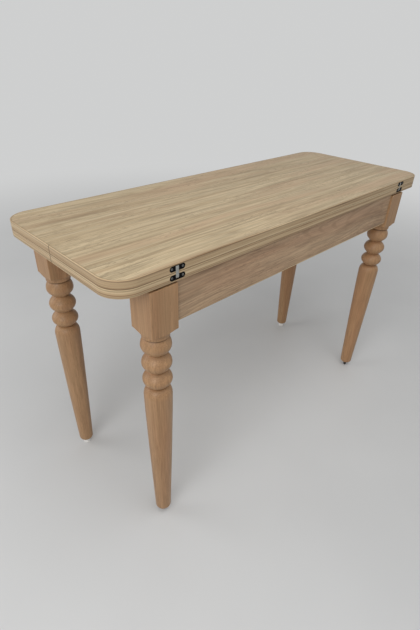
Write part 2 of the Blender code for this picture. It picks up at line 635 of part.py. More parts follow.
SLIDE_SCREW = screw_mesh(SLIDE_SCREW_HEAD_RADIUS, SLIDE_SCREW_HEAD, SLIDE_SCREW_RADIUS, SLIDE_SCREW_LENGTH,
                         countersunk=False)
SLIDE_SCREW_HOLE = screw_hole_mesh(SLIDE_SCREW_RADIUS, SLIDE_SCREW_LENGTH)
for side_name, side in SIDES.items():
    outer = add_part(f"slide_outer_member_{side_name}",
                     member_mesh(side, OUTER_MEMBER_BACK, OUTER_MEMBER_TIP, OUTER_MEMBER_HALF),
                     ZINC_STEEL, BACK_FRAME)
    add_part(f"slide_outer_retainer_{side_name}",
             retainer_mesh(side, OUTER_RETAINER_BACK, OUTER_RETAINER_HALF), ZINC_STEEL, OUTER_RETAINERS)
    add_part(f"slide_middle_member_{side_name}",
             member_mesh(side, MIDDLE_MEMBER_BACK, MIDDLE_MEMBER_TIP, MIDDLE_MEMBER_HALF),
             ZINC_STEEL, SLIDE_MIDDLE)
    add_part(f"slide_inner_retainer_{side_name}",
             retainer_mesh(side, INNER_RETAINER_BACK, INNER_RETAINER_HALF), ZINC_STEEL, INNER_RETAINERS)
    inner = add_part(f"slide_inner_member_{side_name}",
                     member_mesh(side, INNER_MEMBER_BACK, INNER_MEMBER_TIP, INNER_MEMBER_HALF),
                     ZINC_STEEL, FRONT_FRAME)
    outer_x = base_x(side, OUTER_RAIL_INNER_X - OUTER_HEAD_TOP)
    inner_x = base_x(side, OUTER_RAIL_INNER_X - INNER_HEAD_TOP)
    for end_name, end in ENDS.items():
        y = SLIDE_Y + end * SLIDE_SCREW_REACH
        add_screw(f"outer_slide_screw_{side_name}_{end_name}", SLIDE_SCREW, SLIDE_SCREW_HOLE,
                  aim((outer_x, y, RAIL_MIDDLE_Z), (-side, 0, 0)), BACK_FRAME, [outer, OUTER_RAILS[side_name]])
        add_screw(f"inner_slide_screw_{side_name}_{end_name}", SLIDE_SCREW, SLIDE_SCREW_HOLE,
                  aim((inner_x, y, RAIL_MIDDLE_Z), (side, 0, 0)), FRONT_FRAME, [inner, INNER_RAILS[side_name]])


# Leaves and edge bands

def leaf_prism_mesh(inset, low_z, high_z, arris):
    """The leaf's outline with rounded corners, pulled in by an inset; arris rounds its upper and lower rim."""
    half = Vector((LEAF_LENGTH / 2 - inset, LEAF_WIDTH / 2 - inset, 0))
    mesh = box_mesh((-half.x, -half.y, low_z), (half.x, half.y, high_z))
    work = bmesh.new()
    work.from_mesh(mesh)
    uprights = [e for e in work.edges if abs(e.verts[0].co.z - e.verts[1].co.z) > LEAF_THICKNESS / 2]
    bmesh.ops.bevel(work, geom=uprights, offset=LEAF_CORNER_RADIUS - inset, segments=LEAF_CORNER_STEPS,
                    profile=0.5, affect="EDGES", clamp_overlap=False)
    if arris:
        rims = [e for e in work.edges if abs(e.verts[0].co.z - e.verts[1].co.z) < WELD]
        bmesh.ops.bevel(work, geom=rims, offset=arris, segments=BAND_ARRIS_STEPS, profile=0.5,
                        affect="EDGES", clamp_overlap=False)
    work.to_mesh(mesh)
    work.free()
    return tidy_mesh(mesh)


def leaf_faces(leaf):
    """Inner face height and the direction from it into the leaf."""
    sign = LEAVES[leaf]
    return SEAM_Z + sign * SEAM_GAP / 2, sign


BOARD_INSET = BAND_THICKNESS + FIT
LEFT_END_X = -LEAF_LENGTH / 2
LEAF_FRAMES = {"lower": BACK_FRAME, "upper": FLIP_LEAF}
BOARDS = {}
BANDS = {}
for leaf, frame in LEAF_FRAMES.items():
    inner_z, sign = leaf_faces(leaf)
    low_z, high_z = sorted((inner_z, inner_z + sign * LEAF_THICKNESS))
    board = leaf_prism_mesh(BOARD_INSET, low_z, high_z, arris=0)
    band = leaf_prism_mesh(0, low_z, high_z, BAND_ARRIS)
    BOARDS[leaf] = add_part(f"{leaf}_leaf_board", board, OAK_LAMINATE, frame)
    BANDS[leaf] = add_part(f"{leaf}_leaf_edge_band", band, OAK_BAND, frame)
    core = leaf_prism_mesh(BAND_THICKNESS, low_z - LEAF_THICKNESS, high_z + LEAF_THICKNESS, arris=0)
    band_inner_x = LEFT_END_X + BAND_THICKNESS
    joint = box_mesh(
        (LEFT_END_X - CUT_MARGIN, BAND_JOINT_Y - BAND_JOINT_GAP / 2, low_z - CUT_MARGIN),
        (band_inner_x + CUT_MARGIN, BAND_JOINT_Y + BAND_JOINT_GAP / 2, high_z + CUT_MARGIN))
    cut(BANDS[leaf], add_cutter(f"{leaf}_band_core", core), add_cutter(f"{leaf}_band_joint", joint))


# Screws that hold the lower leaf

LEAF_SCREW_HEAD_Z = LEAF_UNDERSIDE_Z + LEAF_SCREW_BITE - LEAF_SCREW_LENGTH
LEAF_SCREW = screw_mesh(LEAF_SCREW_HEAD_RADIUS, LEAF_SCREW_HEAD, LEAF_SCREW_RADIUS, LEAF_SCREW_LENGTH,
                        countersunk=False)
LEAF_SCREW_HOLE = screw_hole_mesh(LEAF_SCREW_RADIUS, LEAF_SCREW_LENGTH)
RAIL_MIDDLE_Y = (OUTER_RAIL_FRONT_Y + BACK_BLOCK_FRONT_Y) / 2
LEAF_SCREW_REACH = (BACK_BLOCK_FRONT_Y - OUTER_RAIL_FRONT_Y) / 2 - LEAF_SCREW_INSET
for side_name, side in SIDES.items():
    x = base_x(side, OUTER_RAIL_INNER_X + RAIL_THICKNESS / 2)
    for end_name, end in ENDS.items():
        y = RAIL_MIDDLE_Y + end * LEAF_SCREW_REACH
        bore = rod_mesh(LEAF_SCREW_BORE_RADIUS, (x, y, RAIL_BOTTOM_Z - CUT_MARGIN),
                        (x, y, LEAF_SCREW_HEAD_Z + LEAF_SCREW_HEAD + FIT), SCREW_SEGMENTS)
        cut(OUTER_RAILS[side_name], add_cutter(f"leaf_screw_bore_{side_name}_{end_name}", bore))
        add_screw(f"leaf_screw_{side_name}_{end_name}", LEAF_SCREW, LEAF_SCREW_HOLE,
                  aim((x, y, LEAF_SCREW_HEAD_Z), (0, 0, -1)), BACK_FRAME,
                  [OUTER_RAILS[side_name], BOARDS["lower"]])


# Hinges

def plate_loop(x, plate_centre_z, sign, notch_top_z):
    """Stadium plate with a notch for the link, open towards the other leaf."""
    half_height = PLATE_HEIGHT / 2
    end = PLATE_LENGTH / 2 - half_height
    far = arc((end, 0), half_height, -90, 90, PLATE_END_STEPS)
    near = arc((-end, 0), half_height, 90, 270, PLATE_END_STEPS)
    notch_top = abs(notch_top_z - plate_centre_z)
    notch = [(-LINK_SLOT_HALF, -half_height), (-LINK_SLOT_HALF, notch_top),
             (LINK_SLOT_HALF, notch_top), (LINK_SLOT_HALF, -half_height)]
    return [(x + u, plate_centre_z + sign * v) for u, v in far + near + notch]


def edge_prism_mesh(loop, low_depth, high_depth):
    """Extrude a loop in the plane of the leaf's front edge between two depths behind that edge."""
    mesh = outline_mesh([loop], high_depth - low_depth)
    middle = FRONT_EDGE_Y + (low_depth + high_depth) / 2
    return transformed(mesh, axes_at((0, middle, 0), (1, 0, 0), (0, 0, 1)))


def edge_box_mesh(x, half_width, low_depth, high_depth, low_rise, high_rise, inner_z, sign):
    """A box behind the leaf's front edge, its height counted from the leaf's inner face."""
    zs = sorted((inner_z + sign * low_rise, inner_z + sign * high_rise))
    low = (x - half_width, FRONT_EDGE_Y + low_depth, zs[0])
    high = (x + half_width, FRONT_EDGE_Y + high_depth, zs[1])
    return box_mesh(low, high)


def countersunk_hole_mesh():
    """Hole of a hinge screw, a fit wider and longer, open past the head."""
    head_radius = HINGE_SCREW_HEAD_RADIUS + FIT
    radius = HINGE_SCREW_RADIUS + FIT
    bottom = -HINGE_SCREW_LENGTH - FIT
    profile = [(0, CUT_MARGIN), (head_radius, CUT_MARGIN), (head_radius, 0), (radius, -HINGE_SCREW_HEAD),
               (radius, bottom), (0, bottom)]
    return turned_mesh(profile, SCREW_SEGMENTS)


HINGE_SCREW = screw_mesh(HINGE_SCREW_HEAD_RADIUS, HINGE_SCREW_HEAD, HINGE_SCREW_RADIUS, HINGE_SCREW_LENGTH,
                         countersunk=True)
HINGE_SCREW_HOLE = countersunk_hole_mesh()


def add_hinge_half(leaf, side_name, frame):
    """Plate with its two cheeks let into the leaf's edge, with its pin and its two screws."""
    inner_z, sign = leaf_faces(leaf)
    x = SIDES[side_name] * HINGE_X
    tag = f"{leaf}_{side_name}"
    plate_z = inner_z + sign * LEAF_THICKNESS / 2
    pin_z = inner_z + sign * PIN_RISE
    pin_y = FRONT_EDGE_Y + PIN_DEPTH
    plate_back = PLATE_SINK + PLATE_THICKNESS
    cheek_high = PLATE_LOW + CHEEK_HEIGHT

    loop = plate_loop(x, plate_z, sign, inner_z + sign * LINK_POCKET_HEIGHT)
    plate = add_part(f"{leaf}_hinge_plate_{side_name}", edge_prism_mesh(loop, PLATE_SINK, plate_back),
                     BLACK_STEEL, frame)
    for cheek in (-1, 1):
        cheek_x = x + cheek * (LINK_SLOT_HALF + CHEEK_THICKNESS / 2)
        body = edge_box_mesh(cheek_x, CHEEK_THICKNESS / 2, PLATE_SINK + PLATE_THICKNESS / 2, CHEEK_DEPTH,
                             PLATE_LOW, cheek_high, inner_z, sign)
        combine(plate, add_cutter(f"hinge_cheek_{tag}_{cheek}", body), "UNION")
    hole_reach = Vector((CHEEK_OUTER_X + CUT_MARGIN, 0, 0))
    centre = Vector((x, pin_y, pin_z))
    pin_hole = rod_mesh(PIN_HOLE_RADIUS, centre - hole_reach, centre + hole_reach, PIN_SEGMENTS)
    cut(plate, add_cutter(f"hinge_pin_hole_{tag}", pin_hole))

    half_height = PLATE_HEIGHT / 2 + FIT
    end = PLATE_LENGTH / 2 - PLATE_HEIGHT / 2
    recess_loop = [(x + v, plate_z + u) for u, v in stadium(-end, end, half_height, PLATE_END_STEPS)]
    recess = edge_prism_mesh(recess_loop, -CUT_MARGIN, plate_back + FIT)
    pocket = edge_box_mesh(x, CHEEK_OUTER_X + FIT, -CUT_MARGIN, CHEEK_DEPTH + FIT, PLATE_LOW - FIT,
                           cheek_high + FIT, inner_z, sign)
    slot = edge_box_mesh(x, LINK_SLOT_HALF, -CUT_MARGIN, LINK_POCKET_DEPTH, -SEAM_GAP / 4, LINK_POCKET_HEIGHT,
                         inner_z, sign)
    recess_cutter = add_cutter(f"hinge_recess_{tag}", recess)
    slot_cutter = add_cutter(f"hinge_slot_{tag}", slot)
    cut(BANDS[leaf], recess_cutter, slot_cutter)
    cut(BOARDS[leaf], recess_cutter, add_cutter(f"hinge_pocket_{tag}", pocket), slot_cutter)

    pin_half = Vector((CHEEK_OUTER_X - FIT, 0, 0))
    pin = rod_mesh(PIN_RADIUS, centre - pin_half, centre + pin_half, PIN_SEGMENTS)
    add_part(f"{leaf}_hinge_pin_{side_name}", pin, ZINC_STEEL, frame)
    for end_name, end in (("outer", SIDES[side_name]), ("inner", -SIDES[side_name])):
        place = (x + end * HINGE_SCREW_SPACING / 2, FRONT_EDGE_Y + PLATE_SINK, plate_z)
        add_screw(f"{leaf}_hinge_screw_{side_name}_{end_name}", HINGE_SCREW, HINGE_SCREW_HOLE,
                  aim(place, (0, -1, 0)), frame, [plate, BOARDS[leaf]])


for leaf, frame in LEAF_FRAMES.items():
    for side_name in SIDES:
        add_hinge_half(leaf, side_name, frame)


def link_mesh():
    """Flat link seen along X, as long below the seam as above: a hole for the lower pin, a slot for the upper."""
    outer = stadium(LINK_LOW_CENTRE, LINK_HIGH_CENTRE, LINK_HALF_WIDTH, LINK_END_STEPS)
    hole = stadium(0, 0, PIN_HOLE_RADIUS, LINK_END_STEPS)[:-1]
    slot = stadium(PIN_SPAN_SHORT - PIN_CLEARANCE, PIN_SPAN_LONG, PIN_HOLE_RADIUS, LINK_END_STEPS)
    return outline_mesh([outer, hole, slot], LINK_THICKNESS)


for side_name, side in SIDES.items():
    place = axes_at((side * HINGE_X, PIN_Y, SEAM_Z - PIN_UP), (0, 1, 0), (0, 0, 1))
    add_part(f"hinge_link_{side_name}", transformed(link_mesh(), place), ZINC_STEEL, HINGE_LINKS)
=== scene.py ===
"""Looks of the folding kitchen table, in metres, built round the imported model."""

import json
import math

import bmesh
import bpy
from mathutils import Matrix, Vector


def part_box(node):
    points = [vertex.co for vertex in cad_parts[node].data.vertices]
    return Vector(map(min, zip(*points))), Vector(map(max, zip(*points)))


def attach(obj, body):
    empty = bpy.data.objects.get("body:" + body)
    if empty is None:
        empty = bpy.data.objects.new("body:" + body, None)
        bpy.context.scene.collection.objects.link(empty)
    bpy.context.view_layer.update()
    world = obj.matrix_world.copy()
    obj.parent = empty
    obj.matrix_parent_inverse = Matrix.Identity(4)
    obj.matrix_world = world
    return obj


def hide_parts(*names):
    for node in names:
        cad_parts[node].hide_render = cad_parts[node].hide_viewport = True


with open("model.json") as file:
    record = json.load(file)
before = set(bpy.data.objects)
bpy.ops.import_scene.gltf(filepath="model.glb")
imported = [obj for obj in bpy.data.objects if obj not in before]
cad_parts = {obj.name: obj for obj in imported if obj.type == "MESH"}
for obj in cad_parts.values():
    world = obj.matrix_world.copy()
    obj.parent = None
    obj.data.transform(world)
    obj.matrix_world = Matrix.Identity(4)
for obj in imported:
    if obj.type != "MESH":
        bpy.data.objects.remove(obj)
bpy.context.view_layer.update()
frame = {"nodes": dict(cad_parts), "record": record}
NODES = frame["nodes"]
BODIES = frame["record"]["behaviour"]["bodies"]
BODY_OF = {node: body for body, members in BODIES.items() for node in members}
SIDES = ("left", "right")
ENDS = ("front", "back")
LEAVES = ("lower", "upper")
X, Y, Z = 0, 1, 2
ORIGIN = (0.0, 0.0, 0.0)

# Leaves
CORNER_RADIUS = 0.054
BAND_THICKNESS = 0.002
BOARD_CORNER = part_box("upper_leaf_board")[1]
BOARD_OUTLINE = (BOARD_CORNER.x, BOARD_CORNER.y, CORNER_RADIUS - BAND_THICKNESS)

# Turning of the legs
BLOCK_LENGTH = 0.1041
BLOCK_ARRIS = 0.0012
SHOULDER_LENGTH = 0.011
NECK_RADIUS = 0.0302
NECK_LENGTH = 0.0050
NECK_GROOVE_RADIUS = 0.0255
NECK_GROOVE_LENGTH = 0.0025
BEAD_LENGTHS = (0.0450, 0.0465, 0.0436)
BEAD_RADIUS = 0.0335
BEAD_FULLNESS = 2.0
GROOVE_RADIUS = 0.0170
SHANK_RADIUS = 0.0327
SHANK_SHOULDER_LENGTH = 0.0236
SHANK_SWELL = 1.2
FOOT_RADIUS = 0.0203
FOOT_ROUND = 0.010
FOOT_FLAT_RADIUS = 0.0098
NECK_DROP = BLOCK_LENGTH + SHOULDER_LENGTH + NECK_LENGTH
NECK_CREASE_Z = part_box("leg_front_left")[1].z - NECK_DROP - NECK_GROOVE_LENGTH


# Node graphs

NOISE_MIDDLE = (0.5, 0.5, 0.5)

# Sockets of a mix node that mixes colours
MIX_FACTOR = 0
MIX_FIRST = 6
MIX_SECOND = 7
MIX_RESULT = 2


def along(axis, lengthwise, crosswise):
    """One value along an axis and another across it."""
    return tuple(lengthwise if i == axis else crosswise for i in range(3))


def even(value):
    """The same value three times over."""
    return (value, value, value)


def dimmed(tone, share):
    return tuple(share * c for c in tone)


class Graph:
    """Node tree of one material, with short calls for the nodes that are used here."""

    def __init__(self, name):
        self.material = bpy.data.materials.new(name)
        self.material.use_nodes = True
        self.tree = self.material.node_tree
        self.shader = self.tree.nodes["Principled BSDF"]
        self.here = self.add("ShaderNodeTexCoord").outputs["Object"]
        self.place = self.here

    def add(self, kind):
        return self.tree.nodes.new(kind)

    def feed(self, socket, value):
        """Link a socket to another one, or set its value."""
        if isinstance(value, bpy.types.NodeSocket):
            self.tree.links.new(value, socket)
        elif socket.type == "RGBA":
            socket.default_value = (*value, 1.0)
        else:
            socket.default_value = value

    def stretch(self, scale, shift=ORIGIN):
        """Coordinates stretched by a number of repeats per metre on each axis."""
        node = self.add("ShaderNodeMapping")
        node.inputs["Scale"].default_value = scale
        node.inputs["Location"].default_value = shift
        self.feed(node.inputs["Vector"], self.place)
        return node.outputs["Vector"]

    def axis(self, index):
        node = self.add("ShaderNodeSeparateXYZ")
        self.feed(node.inputs[0], self.here)
        return node.outputs[index]

    def vector_math(self, operation, first, second=ORIGIN, output="Vector"):
        node = self.add("ShaderNodeVectorMath")
        node.operation = operation
        self.feed(node.inputs[0], first)
        self.feed(node.inputs[1], second)
        return node.outputs[output]

    def wander(self, scale, reach):
        """Let the textures that follow drift to and fro by a reach on each axis, as grain does."""
        node = self.add("ShaderNodeTexNoise")
        node.inputs["Scale"].default_value = 1.0
        self.feed(node.inputs["Vector"], self.stretch(scale))
        drift = self.vector_math("SUBTRACT", node.outputs["Color"], NOISE_MIDDLE)
        drift = self.vector_math("MULTIPLY", drift, reach)
        self.place = self.vector_math("ADD", self.here, drift)

    def noise(self, scale, shift=ORIGIN, detail=2.0, roughness=0.5, distortion=0.0):
        """Noise with a number of repeats per metre on each axis."""
        node = self.add("ShaderNodeTexNoise")
        node.inputs["Scale"].default_value = 1.0
        node.inputs["Detail"].default_value = detail
        node.inputs["Roughness"].default_value = roughness
        node.inputs["Distortion"].default_value = distortion
        self.feed(node.inputs["Vector"], self.stretch(scale, shift))
        return node.outputs["Fac"]

    def math(self, operation, first, second=0.0):
        node = self.add("ShaderNodeMath")
        node.operation = operation
        self.feed(node.inputs[0], first)
        self.feed(node.inputs[1], second)
        return node.outputs[0]

    def spread(self, value, low, high, to_low=0.0, to_high=1.0):
        """Map a range to another one, held at its ends."""
        node = self.add("ShaderNodeMapRange")
        node.interpolation_type = "SMOOTHSTEP"
        self.feed(node.inputs["Value"], value)
        node.inputs["From Min"].default_value = low
        node.inputs["From Max"].default_value = high
        node.inputs["To Min"].default_value = to_low
        node.inputs["To Max"].default_value = to_high
        return node.outputs["Result"]

    def ramp(self, factor, stops, colours):
        """Colours at rising stops of a factor, blended in between."""
        node = self.add("ShaderNodeValToRGB")
        elements = node.color_ramp.elements
        while len(elements) < len(stops):
            elements.new(0.5)
        for element, stop, colour in zip(elements, stops, colours):
            element.position = stop
            element.color = (*colour, 1.0)
        self.feed(node.inputs["Fac"], factor)
        return node.outputs["Color"]

    def mix(self, factor, first, second, blend="MIX"):
        node = self.add("ShaderNodeMix")
        node.data_type = "RGBA"
        node.blend_type = blend
        self.feed(node.inputs[MIX_FACTOR], factor)
        self.feed(node.inputs[MIX_FIRST], first)
        self.feed(node.inputs[MIX_SECOND], second)
        return node.outputs[MIX_RESULT]

    def shade(self, colour, value):
        """A colour made lighter or darker by a value."""
        grey = self.add("ShaderNodeCombineColor")
        for socket in grey.inputs:
            self.feed(socket, value)
        return self.mix(1.0, colour, grey.outputs[0], "MULTIPLY")

    def bump(self, height, strength, distance):
        node = self.add("ShaderNodeBump")
        node.inputs["Strength"].default_value = strength
        node.inputs["Distance"].default_value = distance
        self.feed(node.inputs["Height"], height)
        self.feed(self.shader.inputs["Normal"], node.outputs["Normal"])

    def finish(self, colour, roughness, **values):
        self.feed(self.shader.inputs["Base Color"], colour)
        self.feed(self.shader.inputs["Roughness"], roughness)
        for name, value in values.items():
            self.shader.inputs[name.replace("_", " ")].default_value = value
        return self.material


# Layers of a wood: repeats per metre along and across the grain, places in the noise, ranges that show

GRAIN_WANDER = (2.2, 5.0)
STREAK_STOPS = (0.30, 0.44, 0.58, 0.74)
FIBRE_PLACE = (6.1, 3.3, 0.9)
FIBRE_RANGE = (0.32, 0.68)
FIBRE_LIGHT_SHARE = 0.8         # lightening by fibres as a share of their darkening
WARM_BANDS = (1.5, 18.0)
WARM_PLACE = (3.7, 1.3, 8.1)
WARM_RANGE = (0.50, 0.66)
WARM_STRENGTH = 0.7
FIGURE_PLACE = (5.2, 9.4, 2.6)
FIGURE_RANGE = (0.35, 1.0)
FIGURE_PATCHES = (1.4, 10.0)
FIGURE_PATCH_PLACE = (1.9, 4.6, 7.7)
FIGURE_PATCH_RANGE = (0.55, 0.75)
FINE_LINES = (7.0, 420.0)
FINE_RANGE = (0.28, 0.72)
FINE_SHADES = (0.84, 1.10)
PORES = (55.0, 700.0)
PORE_PLACE = (2.2, 0.4, 6.3)
PORE_RANGE = (0.58, 0.68)
PORE_PATCHES = (4.0, 30.0)
PORE_PATCH_PLACE = (8.8, 2.1, 0.7)
PORE_PATCH_RANGE = (0.5, 0.62)

# Marks in a wood and painted shade in a turned crease, with their tones as shares of its dark tone
PORE_TONE = 0.55
RIM_TONE = 0.6
RIM_STRENGTH = 0.6
RIM_WIDTH = 0.0016
CREASE_SHADE_TONE = 0.40
CREASE_SHADE_STRENGTH = 0.75
CREASE_SHADE_FULL = 0.0008            # half width at full strength
CREASE_SHADE_END = 0.0036

# Finish of a wood
SATIN = 0.3                     # specular level
GLOSS_RANGE = (0.2, 0.8)
GLOSS_SPREAD = 0.06
GRAIN_BUMP = (0.18, 0.0003)     # strength and depth


def rim_line(g, half_x, half_y, radius):
    """1 along the outline of a rounded rectangle about the origin, 0 from a little inside it."""
    past_x = g.math("SUBTRACT", g.math("ABSOLUTE", g.axis(X)), half_x - radius)
    past_y = g.math("SUBTRACT", g.math("ABSOLUTE", g.axis(Y)), half_y - radius)
    out_x = g.math("MAXIMUM", past_x, 0.0)
    out_y = g.math("MAXIMUM", past_y, 0.0)
    squares = g.math("ADD", g.math("MULTIPLY", out_x, out_x), g.math("MULTIPLY", out_y, out_y))
    within = g.math("MINIMUM", g.math("MAXIMUM", past_x, past_y), 0.0)
    reach = g.math("ADD", g.math("SQRT", squares), within)
    return g.spread(reach, radius - RIM_WIDTH, radius - RIM_WIDTH / 2)


def wood(name, axis, tones, streaks, fibres, fibre_contrast, figure, rings, figure_cover, figure_strength,
         pore_cover, pore_strength, roughness, drift, outline=None, shaded_crease_z=None):
    """Planed wood or a laminate of it, with its grain along one axis.

    Tones are dark, middle, light and warm. Streaks, fibres and figure are repeats per metre along the
    grain and across it. Drift is how far the grain wanders. Outline is the half length, half width and
    corner radius of a board with a dark joint line round its edge. The crease argument is the height of
    a turned groove with painted shade along it: a darker band that stands in for the shade in the groove.
    """
    dark, middle, light, warm = tones
    g = Graph(name)
    g.wander(along(axis, *GRAIN_WANDER), along(axis, 0.0, drift))

    broad = g.noise(along(axis, *streaks), detail=5.0, roughness=0.62, distortion=0.35)
    colour = g.ramp(broad, STREAK_STOPS, (dark, middle, light, middle))
    thin = g.noise(along(axis, *fibres), FIBRE_PLACE, detail=3.0, roughness=0.6, distortion=0.5)
    fibre_shades = (1.0 - fibre_contrast, 1.0 + FIBRE_LIGHT_SHARE * fibre_contrast)
    colour = g.shade(colour, g.spread(thin, *FIBRE_RANGE, *fibre_shades))
    slow = g.noise(along(axis, *WARM_BANDS), WARM_PLACE, detail=3.0, distortion=0.3)
    colour = g.mix(g.spread(slow, *WARM_RANGE, 0.0, WARM_STRENGTH), colour, warm)

    field = g.noise(along(axis, *figure), FIGURE_PLACE, detail=2.5)
    lines = g.spread(g.math("SINE", g.math("MULTIPLY", field, rings)), *FIGURE_RANGE)
    patch = g.noise(along(axis, *FIGURE_PATCHES), FIGURE_PATCH_PLACE)
    patch = g.spread(patch, *(limit - figure_cover for limit in FIGURE_PATCH_RANGE))
    colour = g.mix(g.math("MULTIPLY", g.math("MULTIPLY", lines, patch), figure_strength), colour, dark)

    fine = g.noise(along(axis, *FINE_LINES), detail=3.0, roughness=0.6)
    colour = g.shade(colour, g.spread(fine, *FINE_RANGE, *FINE_SHADES))

    dashes = g.spread(g.noise(along(axis, *PORES), PORE_PLACE, detail=1.0), *PORE_RANGE)
    where = g.noise(along(axis, *PORE_PATCHES), PORE_PATCH_PLACE)
    where = g.spread(where, PORE_PATCH_RANGE[0] - pore_cover, PORE_PATCH_RANGE[1])
    marks = g.math("MULTIPLY", g.math("MULTIPLY", dashes, where), pore_strength)
    colour = g.mix(marks, colour, dimmed(dark, PORE_TONE))

    if outline:
        rim = g.math("MULTIPLY", rim_line(g, *outline), RIM_STRENGTH)
        colour = g.mix(rim, colour, dimmed(dark, RIM_TONE))
    # Painted shade: a darker band round the turned groove at this height stands in for the shade in the
    # crease
    if shaded_crease_z is not None:
        off = g.math("ABSOLUTE", g.math("SUBTRACT", g.axis(Z), shaded_crease_z))
        crease_shade = g.spread(off, CREASE_SHADE_FULL, CREASE_SHADE_END, CREASE_SHADE_STRENGTH, 0.0)
        colour = g.mix(crease_shade, colour, dimmed(dark, CREASE_SHADE_TONE))

    gloss = g.spread(fine, *GLOSS_RANGE, roughness + GLOSS_SPREAD, roughness - GLOSS_SPREAD)
    g.bump(g.math("SUBTRACT", fine, marks), *GRAIN_BUMP)
    return g.finish(colour, gloss, Specular_IOR_Level=SATIN)


# Wood tones: dark, middle, light and a warmer one

OAK_TONES = ((0.340, 0.240, 0.130), (0.445, 0.338, 0.200), (0.540, 0.428, 0.268), (0.475, 0.324, 0.195))
APRON_TONES = ((0.300, 0.184, 0.106), (0.425, 0.284, 0.174), (0.480, 0.338, 0.212), (0.455, 0.288, 0.178))
BAND_TONES = ((0.265, 0.168, 0.088), (0.490, 0.362, 0.216), (0.595, 0.460, 0.286), (0.445, 0.310, 0.180))
BEECH_TONES = ((0.340, 0.193, 0.095), (0.380, 0.219, 0.111), (0.418, 0.249, 0.129), (0.392, 0.210, 0.105))
RAIL_TONES = ((0.400, 0.270, 0.140), (0.520, 0.380, 0.220), (0.590, 0.450, 0.280), (0.500, 0.345, 0.195))

LAMINATE = wood(
    "oak_laminate_grain", X, OAK_TONES, streaks=(1.4, 46.0), fibres=(5.0, 150.0), fibre_contrast=0.17,
    figure=(1.0, 9.0), rings=200.0, figure_cover=0.15, figure_strength=0.38,
    pore_cover=0.05, pore_strength=0.75, roughness=0.46, drift=0.024, outline=BOARD_OUTLINE)
APRON_WOOD = wood(
    "oak_apron_grain", X, APRON_TONES, streaks=(1.8, 36.0), fibres=(9.0, 170.0), fibre_contrast=0.20,
    figure=(0.6, 6.0), rings=340.0, figure_cover=0.30, figure_strength=0.48,
    pore_cover=0.2, pore_strength=0.5, roughness=0.48, drift=0.030)
# Beech of the legs, with painted shade in the crease under the neck
BEECH = wood(
    "beech_grain", Z, BEECH_TONES, streaks=(1.3, 30.0), fibres=(4.5, 130.0), fibre_contrast=0.07,
    figure=(0.7, 11.0), rings=60.0, figure_cover=0.13, figure_strength=0.22,
    pore_cover=0.2, pore_strength=0.35, roughness=0.42, drift=0.012, shaded_crease_z=NECK_CREASE_Z)


def rail_wood(name, axis):
    return wood(
        name, axis, RAIL_TONES, streaks=(1.6, 40.0), fibres=(4.5, 130.0), fibre_contrast=0.10,
        figure=(0.9, 14.0), rings=90.0, figure_cover=0.13, figure_strength=0.5,
        pore_cover=0.05, pore_strength=0.25, roughness=0.60, drift=0.020)


RAIL_ALONG_Y = rail_wood("rail_grain_y", Y)
RAIL_ALONG_X = rail_wood("rail_grain_x", X)


# Edge bands: lighter and darker lines at a share of the height of both leaves, from the bottom up; the
# darkest is painted shade in the seam between the leaves

BAND_LINES_AND_SEAM_SHADE = (
    (0.000, 1.12), (0.050, 1.12),   # lower leaf's lower arris
    (0.070, 0.68), (0.100, 0.68),   # its lower dark line
    (0.130, 1.07), (0.390, 1.07),   # its face
    (0.410, 0.72), (0.440, 0.72),   # its upper dark line
    (0.455, 1.14), (0.490, 1.14),   # its upper arris
    (0.495, 0.30), (0.515, 0.30),   # painted shade in the seam between the leaves
    (0.535, 0.86),                  # upper leaf's lower arris, at the edge of the painted shade in the seam
    (0.570, 1.02), (0.900, 0.99),   # its face
    (0.920, 0.66), (0.950, 0.66),   # its upper dark line
    (0.970, 1.12), (1.000, 1.12))   # its upper arris
BAND_STREAKS = (1.9, 1.9, 300.0)    # long along the edge and thin across it
BAND_STOPS = (0.36, 0.45, 0.53, 0.63)
BAND_FINE_LINES = (9.0, 9.0, 1500.0)
BAND_FINE_RANGE = (0.3, 0.7)
BAND_FINE_SHADES = (0.86, 1.06)
BAND_ROUGHNESS = (0.54, 0.42)
BAND_BUMP = (0.12, 0.0002)
BUTT_JOINT_FULL = 0.0008            # half width at full strength
BUTT_JOINT_END = 0.0017
BUTT_JOINT_STRENGTH = 0.9
BUTT_JOINT_TONE = 0.4


def edge_band():
    """Thin oak strip bent round the leaves, with grain along the edge, dark lines, light arrises and painted
    shade in the seam between the leaves.
    """
    dark, middle, light, warm = BAND_TONES
    low_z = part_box("lower_leaf_board")[0].z
    stack_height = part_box("upper_leaf_board")[1].z - low_z
    g = Graph("oak_band_lines")
    lines = g.noise(BAND_STREAKS, detail=3.0, roughness=0.6, distortion=0.2)
    colour = g.ramp(lines, BAND_STOPS, (dark, warm, middle, light))
    fine = g.noise(BAND_FINE_LINES)
    colour = g.shade(colour, g.spread(fine, *BAND_FINE_RANGE, *BAND_FINE_SHADES))
    share = g.math("DIVIDE", g.math("SUBTRACT", g.axis(Z), low_z), stack_height)
    # Dark lines, light arrises and the painted shade in the seam, set by height
    stops, shades = zip(*BAND_LINES_AND_SEAM_SHADE)
    stripes_and_seam_shade = g.ramp(share, stops, [even(shade) for shade in shades])
    colour = g.mix(1.0, colour, stripes_and_seam_shade, "MULTIPLY")
    off = g.math("ABSOLUTE", g.axis(Y))
    joint = g.spread(off, BUTT_JOINT_FULL, BUTT_JOINT_END, BUTT_JOINT_STRENGTH, 0.0)
    left_end = g.math("LESS_THAN", g.axis(X), 0.0)
    colour = g.mix(g.math("MULTIPLY", joint, left_end), colour, dimmed(dark, BUTT_JOINT_TONE))
    g.bump(lines, *BAND_BUMP)
    return g.finish(colour, g.spread(fine, *GLOSS_RANGE, *BAND_ROUGHNESS), Specular_IOR_Level=SATIN)


# Metal and plastic: ranges of a cloudy noise, repeats per metre, tones, and bumps as strength and depth

